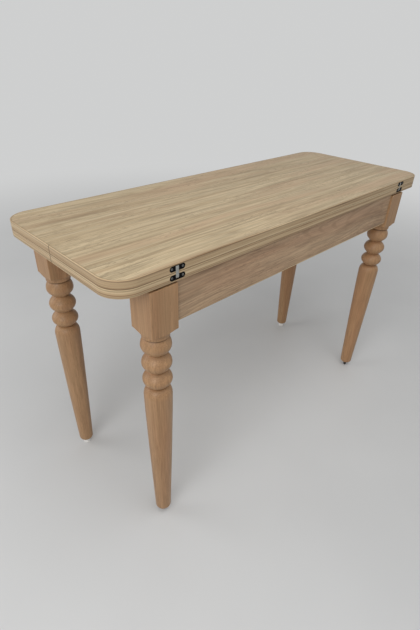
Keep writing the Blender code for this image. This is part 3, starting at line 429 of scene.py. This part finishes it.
CLOUD_RANGE = (0.3, 0.7)
STAIN_RANGE = (0.35, 0.7)

PAINT_TONES = ((0.002, 0.002, 0.003), (0.007, 0.007, 0.008))
PAINT_CLOUDS = even(90.0)
PAINT_RANGE = (0.35, 0.75)
PAINT_GRAIN = even(900.0)
PAINT_BUMP = (0.15, 0.0001)
PAINT_ROUGHNESS = (0.50, 0.64)
PAINT_SPECULAR = 0.05

ZINC_CLOUDS = even(140.0)
ZINC_STAIN = 0.86
ZINC_SCRATCHES = (2600.0, 160.0, 160.0)
ZINC_BUMP = (0.06, 0.0001)

PLASTIC_CLOUDS = even(160.0)
PLASTIC_STAIN = 0.25
PLASTIC_GRAIN = even(1500.0)
PLASTIC_BUMP = (0.08, 0.0001)
PLASTIC_ROUGHNESS = (0.38, 0.50)
SCUFF_HEIGHT = 0.0022
SCUFF_STRENGTH = 0.8


def painted_steel():
    g = Graph("black_paint")
    cloud = g.noise(PAINT_CLOUDS, detail=3.0)
    colour = g.mix(g.spread(cloud, *PAINT_RANGE), *PAINT_TONES)
    g.bump(g.noise(PAINT_GRAIN), *PAINT_BUMP)
    roughness = g.spread(cloud, *CLOUD_RANGE, *PAINT_ROUGHNESS)
    return g.finish(colour, roughness, Specular_IOR_Level=PAINT_SPECULAR)


def zinc_plate(name, tone, *roughness):
    """Zinc-plated steel, cloudy and a little scratched, between two values of roughness."""
    g = Graph(name)
    cloud = g.noise(ZINC_CLOUDS, detail=4.0, roughness=0.6)
    colour = g.mix(g.spread(cloud, *STAIN_RANGE), tone, dimmed(tone, ZINC_STAIN))
    g.bump(g.noise(ZINC_SCRATCHES), *ZINC_BUMP)
    return g.finish(colour, g.spread(cloud, *CLOUD_RANGE, *roughness), Metallic=1.0)


def moulded_plastic(name, clean, worn):
    """Plastic of the glides, scuffed near the floor."""
    g = Graph(name)
    cloud = g.noise(PLASTIC_CLOUDS, detail=3.0)
    colour = g.mix(g.spread(cloud, *STAIN_RANGE, 0.0, PLASTIC_STAIN), clean, worn)
    colour = g.mix(g.spread(g.axis(Z), 0.0, SCUFF_HEIGHT, SCUFF_STRENGTH, 0.0), colour, worn)
    g.bump(g.noise(PLASTIC_GRAIN), *PLASTIC_BUMP)
    return g.finish(colour, g.spread(cloud, *CLOUD_RANGE, *PLASTIC_ROUGHNESS))


EDGE_BAND = edge_band()
BLACK = painted_steel()
ZINC = zinc_plate("zinc_slides", (0.60, 0.61, 0.61), 0.26, 0.40)
BRIGHT_ZINC = zinc_plate("zinc_fasteners", (0.62, 0.63, 0.62), 0.24, 0.38)
LINK_ZINC = zinc_plate("zinc_links", (0.56, 0.56, 0.53), 0.34, 0.48)
DULL_ZINC = zinc_plate("zinc_hinge_screws", (0.22, 0.22, 0.21), 0.36, 0.48)
PALE_PLASTIC = moulded_plastic("white_moulding", (0.86, 0.85, 0.82), (0.66, 0.64, 0.60))
DARK_PLASTIC = moulded_plastic("black_moulding", (0.012, 0.012, 0.013), (0.040, 0.038, 0.036))


# Mesh helpers

WELD = 0.000001
FLAT_ANGLE = math.radians(1)    # faces that meet at less are one
EDGE_ANGLE = math.radians(30)   # edges that turn by more are eased
SHARP = math.radians(38)        # edges that turn by more look sharp
LEG_SHARP = math.radians(50)


def new_mesh(name, work):
    mesh = bpy.data.meshes.new(name)
    work.to_mesh(mesh)
    work.free()
    normals = mesh.attributes.get("custom_normal")
    if normals:
        mesh.attributes.remove(normals)
    return mesh


def add_piece(name, mesh, material, node, sharp=SHARP):
    """A piece that stands for a CAD node, on that node's body."""
    mesh.materials.clear()
    mesh.materials.append(material)
    mesh.shade_smooth()
    mesh.set_sharp_from_angle(angle=sharp)
    piece = bpy.data.objects.new(name, mesh)
    bpy.context.scene.collection.objects.link(piece)
    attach(piece, BODY_OF[node])
    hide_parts(node)
    return piece


def even_normals(piece):
    """Keep broad flat faces flat beside their small rounded edges."""
    weighted = piece.modifiers.new("Weighted normals", "WEIGHTED_NORMAL")
    weighted.keep_sharp = True


def softened_mesh(node, width, segments):
    """Copy of a CAD node's mesh with its sharp edges rounded."""
    work = bmesh.new()
    work.from_mesh(NODES[node].data)
    bmesh.ops.remove_doubles(work, verts=work.verts, dist=WELD)
    bmesh.ops.dissolve_limit(work, angle_limit=FLAT_ANGLE, verts=work.verts, edges=work.edges)
    sharp = [edge for edge in work.edges if edge.is_manifold and edge.calc_face_angle() > EDGE_ANGLE]
    bmesh.ops.bevel(work, geom=sharp, offset=width, segments=segments, profile=0.5, affect="EDGES",
                    clamp_overlap=True)
    return new_mesh(node + "_soft", work)


def quarter_turn(steps):
    """Angles from 0 to a right angle."""
    return [math.pi / 2 * i / steps for i in range(steps + 1)]


def ring_faces(work, rings):
    """Quads between closed rows of points that run alike, with a face on the first and on the last row."""
    for upper, lower in zip(rings, rings[1:]):
        count = len(upper)
        for i in range(count):
            j = (i + 1) % count
            work.faces.new((upper[i], lower[i], lower[j], upper[j]))
    work.faces.new(rings[0])
    work.faces.new(list(reversed(rings[-1])))
    bmesh.ops.recalc_face_normals(work, faces=work.faces)


def lathe(work, profile, segments, matrix=Matrix()):
    """Turn (radius, height) points about Z, top to bottom; a radius of zero closes an end."""
    rings = []
    for radius, z in profile:
        if radius == 0:
            rings.append([work.verts.new(matrix @ Vector((0, 0, z)))])
            continue
        ring = []
        for i in range(segments):
            angle = 2 * math.pi * i / segments
            place = Vector((radius * math.cos(angle), radius * math.sin(angle), z))
            ring.append(work.verts.new(matrix @ place))
        rings.append(ring)
    for upper, lower in zip(rings, rings[1:]):
        for i in range(segments):
            j = (i + 1) % segments
            loop = [upper[i % len(upper)], lower[i % len(lower)]]
            loop += [lower[j % len(lower)], upper[j % len(upper)]]
            work.faces.new(list(dict.fromkeys(loop)))


def box(work, low, high, matrix=Matrix()):
    size = Vector(high) - Vector(low)
    centre = (Vector(high) + Vector(low)) / 2
    place = matrix @ Matrix.Translation(centre) @ Matrix.Diagonal((*size, 1.0))
    bmesh.ops.create_cube(work, size=1.0, matrix=place)


def carve(mesh, cutters):
    """Cut closed meshes out of another one."""
    target = bpy.data.objects.new("carved", mesh)
    bpy.context.scene.collection.objects.link(target)
    tools = []
    for cutter in cutters:
        tool = bpy.data.objects.new("cutter", cutter)
        bpy.context.scene.collection.objects.link(tool)
        boolean = target.modifiers.new("Cut", "BOOLEAN")
        boolean.operation = "DIFFERENCE"
        boolean.object = tool
        tools.append(tool)
    graph = bpy.context.evaluated_depsgraph_get()
    carved = bpy.data.meshes.new_from_object(target.evaluated_get(graph))
    for used in [target, *tools]:
        bpy.data.objects.remove(used)
    return carved


def aim(position, direction):
    """Matrix that takes +Z to a direction and the origin to a position."""
    turn = Vector(direction).to_track_quat("Z", "Y").to_matrix().to_4x4()
    return Matrix.Translation(Vector(position)) @ turn


# Legs, turned below a square block

BLOCK_SIDE_STEPS = 12
BLOCK_CORNER_STEPS = 4
BLOCK_STEPS = 6
SHOULDER_STEPS = 8
SHOULDER_LEAD = 0.03            # angle from the block's flat to the hollow's first point
BEAD_STEPS = 16
SHANK_SHOULDER_STEPS = 8
SHANK_STEPS = 20
FOOT_STEPS = 6


def rounded_square(half, radius):
    """Points round a square with eased corners, at even angles along its sides."""
    reach = math.atan2(half - radius, half)
    quarter = []
    for i in range(BLOCK_SIDE_STEPS + 1):
        angle = reach * (2 * i / BLOCK_SIDE_STEPS - 1)
        quarter.append(Vector((half, half * math.tan(angle))))
    flat = half - radius
    for angle in quarter_turn(BLOCK_CORNER_STEPS)[1:-1]:
        quarter.append(Vector((flat + radius * math.cos(angle), flat + radius * math.sin(angle))))
    points = []
    for turn in range(4):
        points += [Matrix.Rotation(math.pi / 2 * turn, 2) @ point for point in quarter]
    return points


def turned_profile(top_z, foot_z):
    """(radius, height) of the turned part, from the neck's foot down."""
    z = top_z - NECK_GROOVE_LENGTH
    points = [(NECK_GROOVE_RADIUS, z)]
    upper_radius = NECK_GROOVE_RADIUS
    for length in BEAD_LENGTHS:
        for i in range(1, BEAD_STEPS + 1):
            share = (1 - math.cos(math.pi * i / BEAD_STEPS)) / 2
            base = upper_radius if share < 0.5 else GROOVE_RADIUS
            bulge = 1 - abs(2 * share - 1) ** BEAD_FULLNESS
            points.append((base + (BEAD_RADIUS - base) * bulge, z - length * share))
        z -= length
        upper_radius = GROOVE_RADIUS
    for angle in quarter_turn(SHANK_SHOULDER_STEPS)[1:]:
        radius = GROOVE_RADIUS + (SHANK_RADIUS - GROOVE_RADIUS) * math.sin(angle)
        points.append((radius, z - SHANK_SHOULDER_LENGTH * (1 - math.cos(angle))))
    z -= SHANK_SHOULDER_LENGTH
    length = z - foot_z - FOOT_ROUND
    for i in range(1, SHANK_STEPS + 1):
        share = i / SHANK_STEPS
        radius = SHANK_RADIUS - (SHANK_RADIUS - FOOT_RADIUS) * share ** SHANK_SWELL
        points.append((radius, z - length * share))
    for angle in quarter_turn(FOOT_STEPS)[1:]:
        radius = FOOT_RADIUS - FOOT_ROUND * (1 - math.cos(angle))
        points.append((radius, foot_z + FOOT_ROUND * (1 - math.sin(angle))))
    return points + [(FOOT_FLAT_RADIUS, foot_z)]


def block_column(reach, half, top_z):
    """(radius, height) down one line of the block, through the hollow under it, to the neck."""
    corner = half * math.sqrt(2)
    cut_z = top_z - BLOCK_LENGTH
    start = math.asin(min(1.0, (corner - reach) / (corner - NECK_RADIUS)))
    flat_z = cut_z - SHOULDER_LENGTH * (1 - math.cos(start)) + BLOCK_ARRIS / 2
    points = [(reach - BLOCK_ARRIS, top_z), (reach, top_z - BLOCK_ARRIS)]
    for i in range(1, BLOCK_STEPS + 1):
        points.append((reach, top_z - BLOCK_ARRIS + (flat_z - top_z + BLOCK_ARRIS) * i / BLOCK_STEPS))
    start = min(start + SHOULDER_LEAD, math.pi / 2)
    for i in range(SHOULDER_STEPS + 1):
        angle = start + (math.pi / 2 - start) * i / SHOULDER_STEPS
        radius = corner - (corner - NECK_RADIUS) * math.sin(angle)
        points.append((min(radius, reach), cut_z - SHOULDER_LENGTH * (1 - math.cos(angle))))
    return points + [(NECK_RADIUS, cut_z - SHOULDER_LENGTH - NECK_LENGTH)]


def leg_mesh(node):
    low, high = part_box(node)
    centre = (low + high) / 2
    half = (high.x - low.x) / 2
    turned = turned_profile(high.z - NECK_DROP, low.z)
    work = bmesh.new()
    columns = []
    for point in rounded_square(half, BLOCK_ARRIS):
        direction = point.normalized()
        column = []
        for radius, z in block_column(point.length, half, high.z) + turned:
            x = centre.x + direction.x * radius
            y = centre.y + direction.y * radius
            column.append(work.verts.new((x, y, z)))
        columns.append(column)
    ring_faces(work, [list(ring) for ring in zip(*columns)])
    return new_mesh(node + "_turned", work)


for pair in ENDS:
    for side in SIDES:
        node = f"leg_{pair}_{side}"
        even_normals(add_piece(node + "_turned", leg_mesh(node), BEECH, node, LEG_SHARP))


# Glides

GLIDE_HEIGHT = 0.0160
GLIDE_FLANGE = 0.006
GLIDE_RIM = 0.0010
GLIDE_RIM_STEPS = 5
GLIDE_STEM_RADIUS = 0.0035
GLIDE_SEGMENTS = 40


def glide_mesh(node):
    low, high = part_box(node)
    centre = (low + high) / 2
    radius = (high.x - low.x) / 2
    profile = [(0, high.z), (GLIDE_STEM_RADIUS, high.z), (GLIDE_STEM_RADIUS, GLIDE_HEIGHT)]
    profile += [(radius - 2 * GLIDE_RIM, GLIDE_HEIGHT), (radius - GLIDE_RIM, GLIDE_HEIGHT - GLIDE_RIM)]
    profile += [(radius - GLIDE_RIM, GLIDE_FLANGE), (radius, GLIDE_FLANGE - GLIDE_RIM)]
    for angle in quarter_turn(GLIDE_RIM_STEPS):
        profile.append((radius - GLIDE_RIM * (1 - math.cos(angle)), GLIDE_RIM * (1 - math.sin(angle))))
    profile.append((0, 0))
    work = bmesh.new()
    lathe(work, profile, GLIDE_SEGMENTS, Matrix.Translation((centre.x, centre.y, 0)))
    return new_mesh(node + "_moulded", work)


for pair, plastic in zip(ENDS, (DARK_PLASTIC, PALE_PLASTIC)):
    for side in SIDES:
        node = f"glide_{pair}_{side}"
        add_piece(node + "_moulded", glide_mesh(node), plastic, node)


# Edge bands of the leaves

BAND_ARRIS = 0.001
BAND_ARRIS_STEPS = 4
BAND_JOINT_GAP = 0.0006
CORNER_STEPS = 28
RECESS_CLEARANCE = 0.0003
RECESS_FRONT = 0.002            # how far a recess runs past the front of its plate
RECESS_BACK = 0.004
RECESS_END_STEPS = 12
LINK_SLOT_CLEARANCE = 0.0005
LINK_SLOT_HEIGHT = 0.0140

# Corners of a leaf in the order of the band: signs of x and y, and the angle where each one starts
LEAF_CORNERS = ((-1, -1, 180), (1, -1, 270), (1, 1, 0), (-1, 1, 90))


def band_path(half_x, half_y):
    """(place, outward direction) round the leaf, from the butt joint on the left end and back to it."""
    path = [(Vector((-half_x, -BAND_JOINT_GAP / 2)), Vector((-1, 0)))]
    for sign_x, sign_y, start in LEAF_CORNERS:
        centre = Vector((sign_x * (half_x - CORNER_RADIUS), sign_y * (half_y - CORNER_RADIUS)))
        for i in range(CORNER_STEPS + 1):
            angle = math.radians(start + 90 * i / CORNER_STEPS)
            direction = Vector((math.cos(angle), math.sin(angle)))
            path.append((centre + direction * CORNER_RADIUS, direction))
    path.append((Vector((-half_x, BAND_JOINT_GAP / 2)), Vector((-1, 0))))
    return path


def band_section(height):
    """(depth, height) round the strip, with both outer arrises eased."""
    section = [(BAND_THICKNESS, 0.0)]
    for angle in quarter_turn(BAND_ARRIS_STEPS):
        section.append((BAND_ARRIS * (1 - math.sin(angle)), BAND_ARRIS * (1 - math.cos(angle))))
    for angle in quarter_turn(BAND_ARRIS_STEPS):
        section.append((BAND_ARRIS * (1 - math.cos(angle)), height - BAND_ARRIS * (1 - math.sin(angle))))
    return section + [(BAND_THICKNESS, height)]


def plate_recess_mesh(low, high):
    """Closed slot shape that runs through the front edge of a leaf, a little wider than a hinge plate."""
    radius = (high.z - low.z) / 2 + RECESS_CLEARANCE
    middle_z = (high.z + low.z) / 2
    ends = ((high.x + RECESS_CLEARANCE - radius, -90), (low.x - RECESS_CLEARANCE + radius, 90))
    work = bmesh.new()
    rims = []
    for y in (low.y - RECESS_FRONT, high.y + RECESS_BACK):
        rim = []
        for centre_x, start in ends:
            for i in range(RECESS_END_STEPS + 1):
                angle = math.radians(start + 180 * i / RECESS_END_STEPS)
                x = centre_x + radius * math.cos(angle)
                rim.append(work.verts.new((x, y, middle_z + radius * math.sin(angle))))
        rims.append(rim)
    ring_faces(work, rims)
    return new_mesh("plate_recess", work)


def link_slot_mesh(leaf, side):
    """Slot for a hinge link, open towards the other leaf."""
    low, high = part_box(f"hinge_link_{side}")
    board_low, board_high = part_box(f"{leaf}_leaf_board")
    if leaf == "lower":
        z_range = (board_high.z - LINK_SLOT_HEIGHT, board_high.z + LINK_SLOT_CLEARANCE)
    else:
        z_range = (board_low.z - LINK_SLOT_CLEARANCE, board_low.z + LINK_SLOT_HEIGHT)
    work = bmesh.new()
    front = board_low.y - 2 * BAND_THICKNESS
    box(work, (low.x - LINK_SLOT_CLEARANCE, front, z_range[0]),
        (high.x + LINK_SLOT_CLEARANCE, high.y, z_range[1]))
    return new_mesh("link_slot", work)


def band_mesh(leaf):
    low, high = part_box(f"{leaf}_leaf_edge_band")
    section = band_section(high.z - low.z)
    work = bmesh.new()
    rows = []
    for place, outward in band_path(high.x, high.y):
        row = []
        for depth, height in section:
            point = place - outward * depth
            row.append(work.verts.new((point.x, point.y, low.z + height)))
        rows.append(row)
    ring_faces(work, rows)
    cutters = []
    for side in SIDES:
        cutters.append(plate_recess_mesh(*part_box(f"{leaf}_hinge_plate_{side}")))
        cutters.append(link_slot_mesh(leaf, side))
    return carve(new_mesh(f"{leaf}_band", work), cutters)


for leaf in LEAVES:
    node = f"{leaf}_leaf_edge_band"
    even_normals(add_piece(f"{leaf}_edge_band_bent", band_mesh(leaf), EDGE_BAND, node))


# Screws with a cross recess

CROSS_TURN = 20                 # degrees
CROSS_REACH = 0.62              # as a share of the head's radius
CROSS_WIDTH = 0.26              # half width as a share of the reach
CROSS_TAPER = 0.55              # bottom as a share of the opening
CROSS_DEPTH = 0.0013
CROSS_DEPTH_SHARE = 0.8         # the most of a head's height that it takes
HEAD_RIM = 0.1                  # as a share of the head's radius
SCREW_SEGMENTS = 28

# Shares of a domed head's radius and height, from its top down
DOME = ((0.55, 0.08), (0.85, 0.35), (1.0, 0.8), (1.0, 1.0))


def cross_recess(size, depth):
    """Two tapered bars, one across the other, opening at the origin and pointing down."""
    meshes = []
    for turn in (0, 90):
        work = bmesh.new()
        matrix = Matrix.Rotation(math.radians(turn + CROSS_TURN), 4, "Z")
        box(work, (-size, -size * CROSS_WIDTH, -depth), (size, size * CROSS_WIDTH, depth), matrix)
        for vert in work.verts:
            if vert.co.z < 0:
                vert.co.x *= CROSS_TAPER
                vert.co.y *= CROSS_TAPER
        meshes.append(new_mesh("recess_bar", work))
    return meshes


def screw_mesh(head_radius, head, shank_radius, length, countersunk=False):
    """A screw with the top of its head at the origin, pointing down."""
    profile = [(0, 0)]
    if countersunk:
        rim = HEAD_RIM * head_radius
        profile += [(head_radius - rim, 0), (head_radius, -rim)]
    else:
        profile += [(wide * head_radius, -deep * head) for wide, deep in DOME]
    profile += [(shank_radius, -head), (shank_radius, -length + shank_radius), (0, -length)]
    work = bmesh.new()
    lathe(work, profile, SCREW_SEGMENTS)
    bmesh.ops.recalc_face_normals(work, faces=work.faces)
    depth = min(CROSS_DEPTH, CROSS_DEPTH_SHARE * head)
    return carve(new_mesh("screw", work), cross_recess(CROSS_REACH * head_radius, depth))


HINGE_SCREW = screw_mesh(head_radius=0.0026, head=0.0016, shank_radius=0.0015, length=0.016, countersunk=True)
SLIDE_SCREW = screw_mesh(head_radius=0.0032, head=0.0009, shank_radius=0.0017, length=0.014)
LEAF_SCREW = screw_mesh(head_radius=0.0036, head=0.0026, shank_radius=0.0018, length=0.045)


def add_screw(node, mesh, material, direction):
    """A screw in the place of a CAD node, with its head on the side that a direction points to."""
    low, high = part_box(node)
    position = (low + high) / 2
    for axis, way in enumerate(direction):
        if way:
            position[axis] = high[axis] if way > 0 else low[axis]
    placed = mesh.copy()
    placed.transform(aim(position, direction))
    add_piece(node + "_cross_head", placed, material, node)


for leaf in LEAVES:
    for side in SIDES:
        for end in ("outer", "inner"):
            add_screw(f"{leaf}_hinge_screw_{side}_{end}", HINGE_SCREW, DULL_ZINC, (0, -1, 0))
for side, outward in zip(SIDES, (-1, 1)):
    for end in ENDS:
        add_screw(f"outer_slide_screw_{side}_{end}", SLIDE_SCREW, BRIGHT_ZINC, (-outward, 0, 0))
        add_screw(f"inner_slide_screw_{side}_{end}", SLIDE_SCREW, BRIGHT_ZINC, (outward, 0, 0))
        add_screw(f"leaf_screw_{side}_{end}", LEAF_SCREW, BRIGHT_ZINC, (0, 0, -1))


# Ball retainers, with their rows of balls

BALL_ROW = 0.0031
BALL_RADIUS = BALL_ROW / 2
BALL_PITCH = 0.0068
BALL_SEGMENTS = 14
BALL_RINGS = 8
BALL_TURN = Matrix.Rotation(math.pi / 2, 4, "Z")
CAGE_METAL = 0.0005


def add_ball(work, place):
    """A ball with its poles at the top and the bottom."""
    profile = [(0, BALL_RADIUS)]
    for i in range(1, BALL_RINGS):
        angle = math.pi * i / BALL_RINGS
        profile.append((BALL_RADIUS * math.sin(angle), BALL_RADIUS * math.cos(angle)))
    profile.append((0, -BALL_RADIUS))
    lathe(work, profile, BALL_SEGMENTS, Matrix.Translation(place) @ BALL_TURN)


def retainer_mesh(node, side):
    low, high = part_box(node)
    web_x = (low.x, low.x + CAGE_METAL) if side == "left" else (high.x - CAGE_METAL, high.x)
    rows = (low.z + BALL_RADIUS, high.z - BALL_RADIUS)
    work = bmesh.new()
    box(work, (web_x[0], low.y, rows[0]), (web_x[1], high.y, rows[1]))
    for row in rows:
        box(work, (low.x, low.y, row - CAGE_METAL / 2), (high.x, high.y, row + CAGE_METAL / 2))
    count = int((high.y - low.y) / BALL_PITCH) - 1
    middle_x = (low.x + high.x) / 2
    for i in range(count):
        y = low.y + BALL_PITCH + i * (high.y - low.y - 2 * BALL_PITCH) / (count - 1)
        for row in rows:
            add_ball(work, (middle_x, y, row))
    return new_mesh(node + "_balls", work)


for side in SIDES:
    for layer in ("outer", "inner"):
        node = f"slide_{layer}_retainer_{side}"
        add_piece(node + "_balls", retainer_mesh(node, side), BRIGHT_ZINC, node)


# Pieces that keep their shape, with their edges eased

WOOD_ARRIS = 0.0007
APRON_BAND_ARRIS = WOOD_ARRIS / 2
METAL_ARRIS = 0.0003
LINK_ARRIS = 2 * METAL_ARRIS
ARRIS_SEGMENTS = 2
LINK_ARRIS_SEGMENTS = 3


def soften(node, width, material, segments=ARRIS_SEGMENTS):
    even_normals(add_piece(node + "_eased", softened_mesh(node, width, segments), material, node))


soften("front_apron", WOOD_ARRIS, APRON_WOOD)
soften("back_apron", WOOD_ARRIS, APRON_WOOD)
soften("front_apron_edge_band", APRON_BAND_ARRIS, EDGE_BAND)
soften("tie_rail", WOOD_ARRIS, RAIL_ALONG_X)
for side in SIDES:
    for layer in ("outer", "inner"):
        soften(f"{layer}_rail_{side}", WOOD_ARRIS, RAIL_ALONG_Y)
    for layer in ("outer", "middle", "inner"):
        soften(f"slide_{layer}_member_{side}", METAL_ARRIS, ZINC)
    for leaf in LEAVES:
        soften(f"{leaf}_hinge_plate_{side}", METAL_ARRIS, BLACK)
    soften(f"hinge_link_{side}", LINK_ARRIS, LINK_ZINC, LINK_ARRIS_SEGMENTS)


# Pieces that stay as they are

def paint(node, material):
    for holder in NODES[node].material_slots:
        holder.material = material


for leaf in LEAVES:
    paint(f"{leaf}_leaf_board", LAMINATE)
    for side in SIDES:
        paint(f"{leaf}_hinge_pin_{side}", BRIGHT_ZINC)


# Floor, light and camera

WHITE = (1.0, 1.0, 1.0, 1.0)
PALE = (0.62, 0.625, 0.625)
FLOOR_TONES = ((0.640, 0.645, 0.645), (0.665, 0.670, 0.670))
FLOOR_CLOUDS = even(2.0)
FLOOR_ROUGHNESS = 0.55
FLOOR_RADIUS = 30.0
FLOOR_SEGMENTS = 64
FADE_START = 1.0
FADE_END = 3.6
WORLD_STRENGTH = 0.41
LAMP_SIZE = 1.6
CAMERA_LENS = 24.405
CAMERA_PLACE = (-0.9219, -0.7750, 1.0923)

# Heading, tilt and roll of the camera in degrees
CAMERA_TURNS = ((-45.1215, "Z"), (57.7045, "X"), (2.0230, "Z"))

# Place, target and power of each lamp
LAMPS = {
    "key_light": ((-2.2, -0.9, 1.75), (-0.1, 0.0, 0.5), 23.0),
    "overhead_light": ((-0.3, -0.75, 2.4), (-0.1, -0.1, 0.7), 14.5),
    "fill_light": ((-1.9, 1.7, 1.4), (-0.1, 0.0, 0.5), 12.0)}


def add_floor():
    """Pale floor that fades to the backdrop's tone far from the table."""
    work = bmesh.new()
    bmesh.ops.create_circle(work, cap_ends=True, segments=FLOOR_SEGMENTS, radius=FLOOR_RADIUS)
    floor = bpy.data.objects.new("floor", new_mesh("floor", work))
    bpy.context.scene.collection.objects.link(floor)
    g = Graph("pale_floor")
    cloud = g.noise(FLOOR_CLOUDS, detail=3.0)
    g.finish(g.mix(g.spread(cloud, *CLOUD_RANGE), *FLOOR_TONES), FLOOR_ROUGHNESS)
    far = g.spread(g.vector_math("LENGTH", g.place, output="Value"), FADE_START, FADE_END)
    seen = g.add("ShaderNodeLightPath").outputs["Is Camera Ray"]
    glow = g.add("ShaderNodeEmission")
    g.feed(glow.inputs["Color"], PALE)
    blend = g.add("ShaderNodeMixShader")
    g.feed(blend.inputs[0], g.math("MULTIPLY", far, seen))
    g.feed(blend.inputs[1], g.shader.outputs["BSDF"])
    g.feed(blend.inputs[2], glow.outputs["Emission"])
    g.feed(g.tree.nodes["Material Output"].inputs["Surface"], blend.outputs["Shader"])
    floor.data.materials.append(g.material)


def add_world():
    """White light from all sides, with a pale backdrop for the camera and for reflections."""
    world = bpy.data.worlds.new("studio")
    world.use_nodes = True
    tree = world.node_tree
    light = tree.nodes["Background"]
    light.inputs["Color"].default_value = WHITE
    light.inputs["Strength"].default_value = WORLD_STRENGTH
    backdrop = tree.nodes.new("ShaderNodeBackground")
    backdrop.inputs["Color"].default_value = (*PALE, 1.0)
    path = tree.nodes.new("ShaderNodeLightPath")
    shown = path.outputs["Is Camera Ray"]
    for kind in ("Is Glossy Ray", "Is Transmission Ray"):
        either = tree.nodes.new("ShaderNodeMath")
        either.operation = "MAXIMUM"
        tree.links.new(shown, either.inputs[0])
        tree.links.new(path.outputs[kind], either.inputs[1])
        shown = either.outputs[0]
    mix = tree.nodes.new("ShaderNodeMixShader")
    tree.links.new(shown, mix.inputs[0])
    tree.links.new(light.outputs[0], mix.inputs[1])
    tree.links.new(backdrop.outputs[0], mix.inputs[2])
    tree.links.new(mix.outputs[0], tree.nodes["World Output"].inputs["Surface"])
    bpy.context.scene.world = world


def add_lamp(name, place, target, power):
    data = bpy.data.lights.new(name, "AREA")
    data.shape = "DISK"
    data.size = LAMP_SIZE
    data.energy = power
    lamp = bpy.data.objects.new(name, data)
    lamp.matrix_world = aim(place, Vector(place) - Vector(target))
    bpy.context.scene.collection.objects.link(lamp)


def add_camera():
    data = bpy.data.cameras.new("photo_camera")
    data.lens = CAMERA_LENS
    camera = bpy.data.objects.new("photo_camera", data)
    pose = Matrix.Translation(CAMERA_PLACE)
    for degrees, axis in CAMERA_TURNS:
        pose = pose @ Matrix.Rotation(math.radians(degrees), 4, axis)
    camera.matrix_world = pose
    bpy.context.scene.collection.objects.link(camera)
    bpy.context.scene.camera = camera


add_floor()
add_world()
for name, (place, target, power) in LAMPS.items():
    add_lamp(name, place, target, power)
add_camera()
bpy.context.scene.view_settings.view_transform = "Standard"
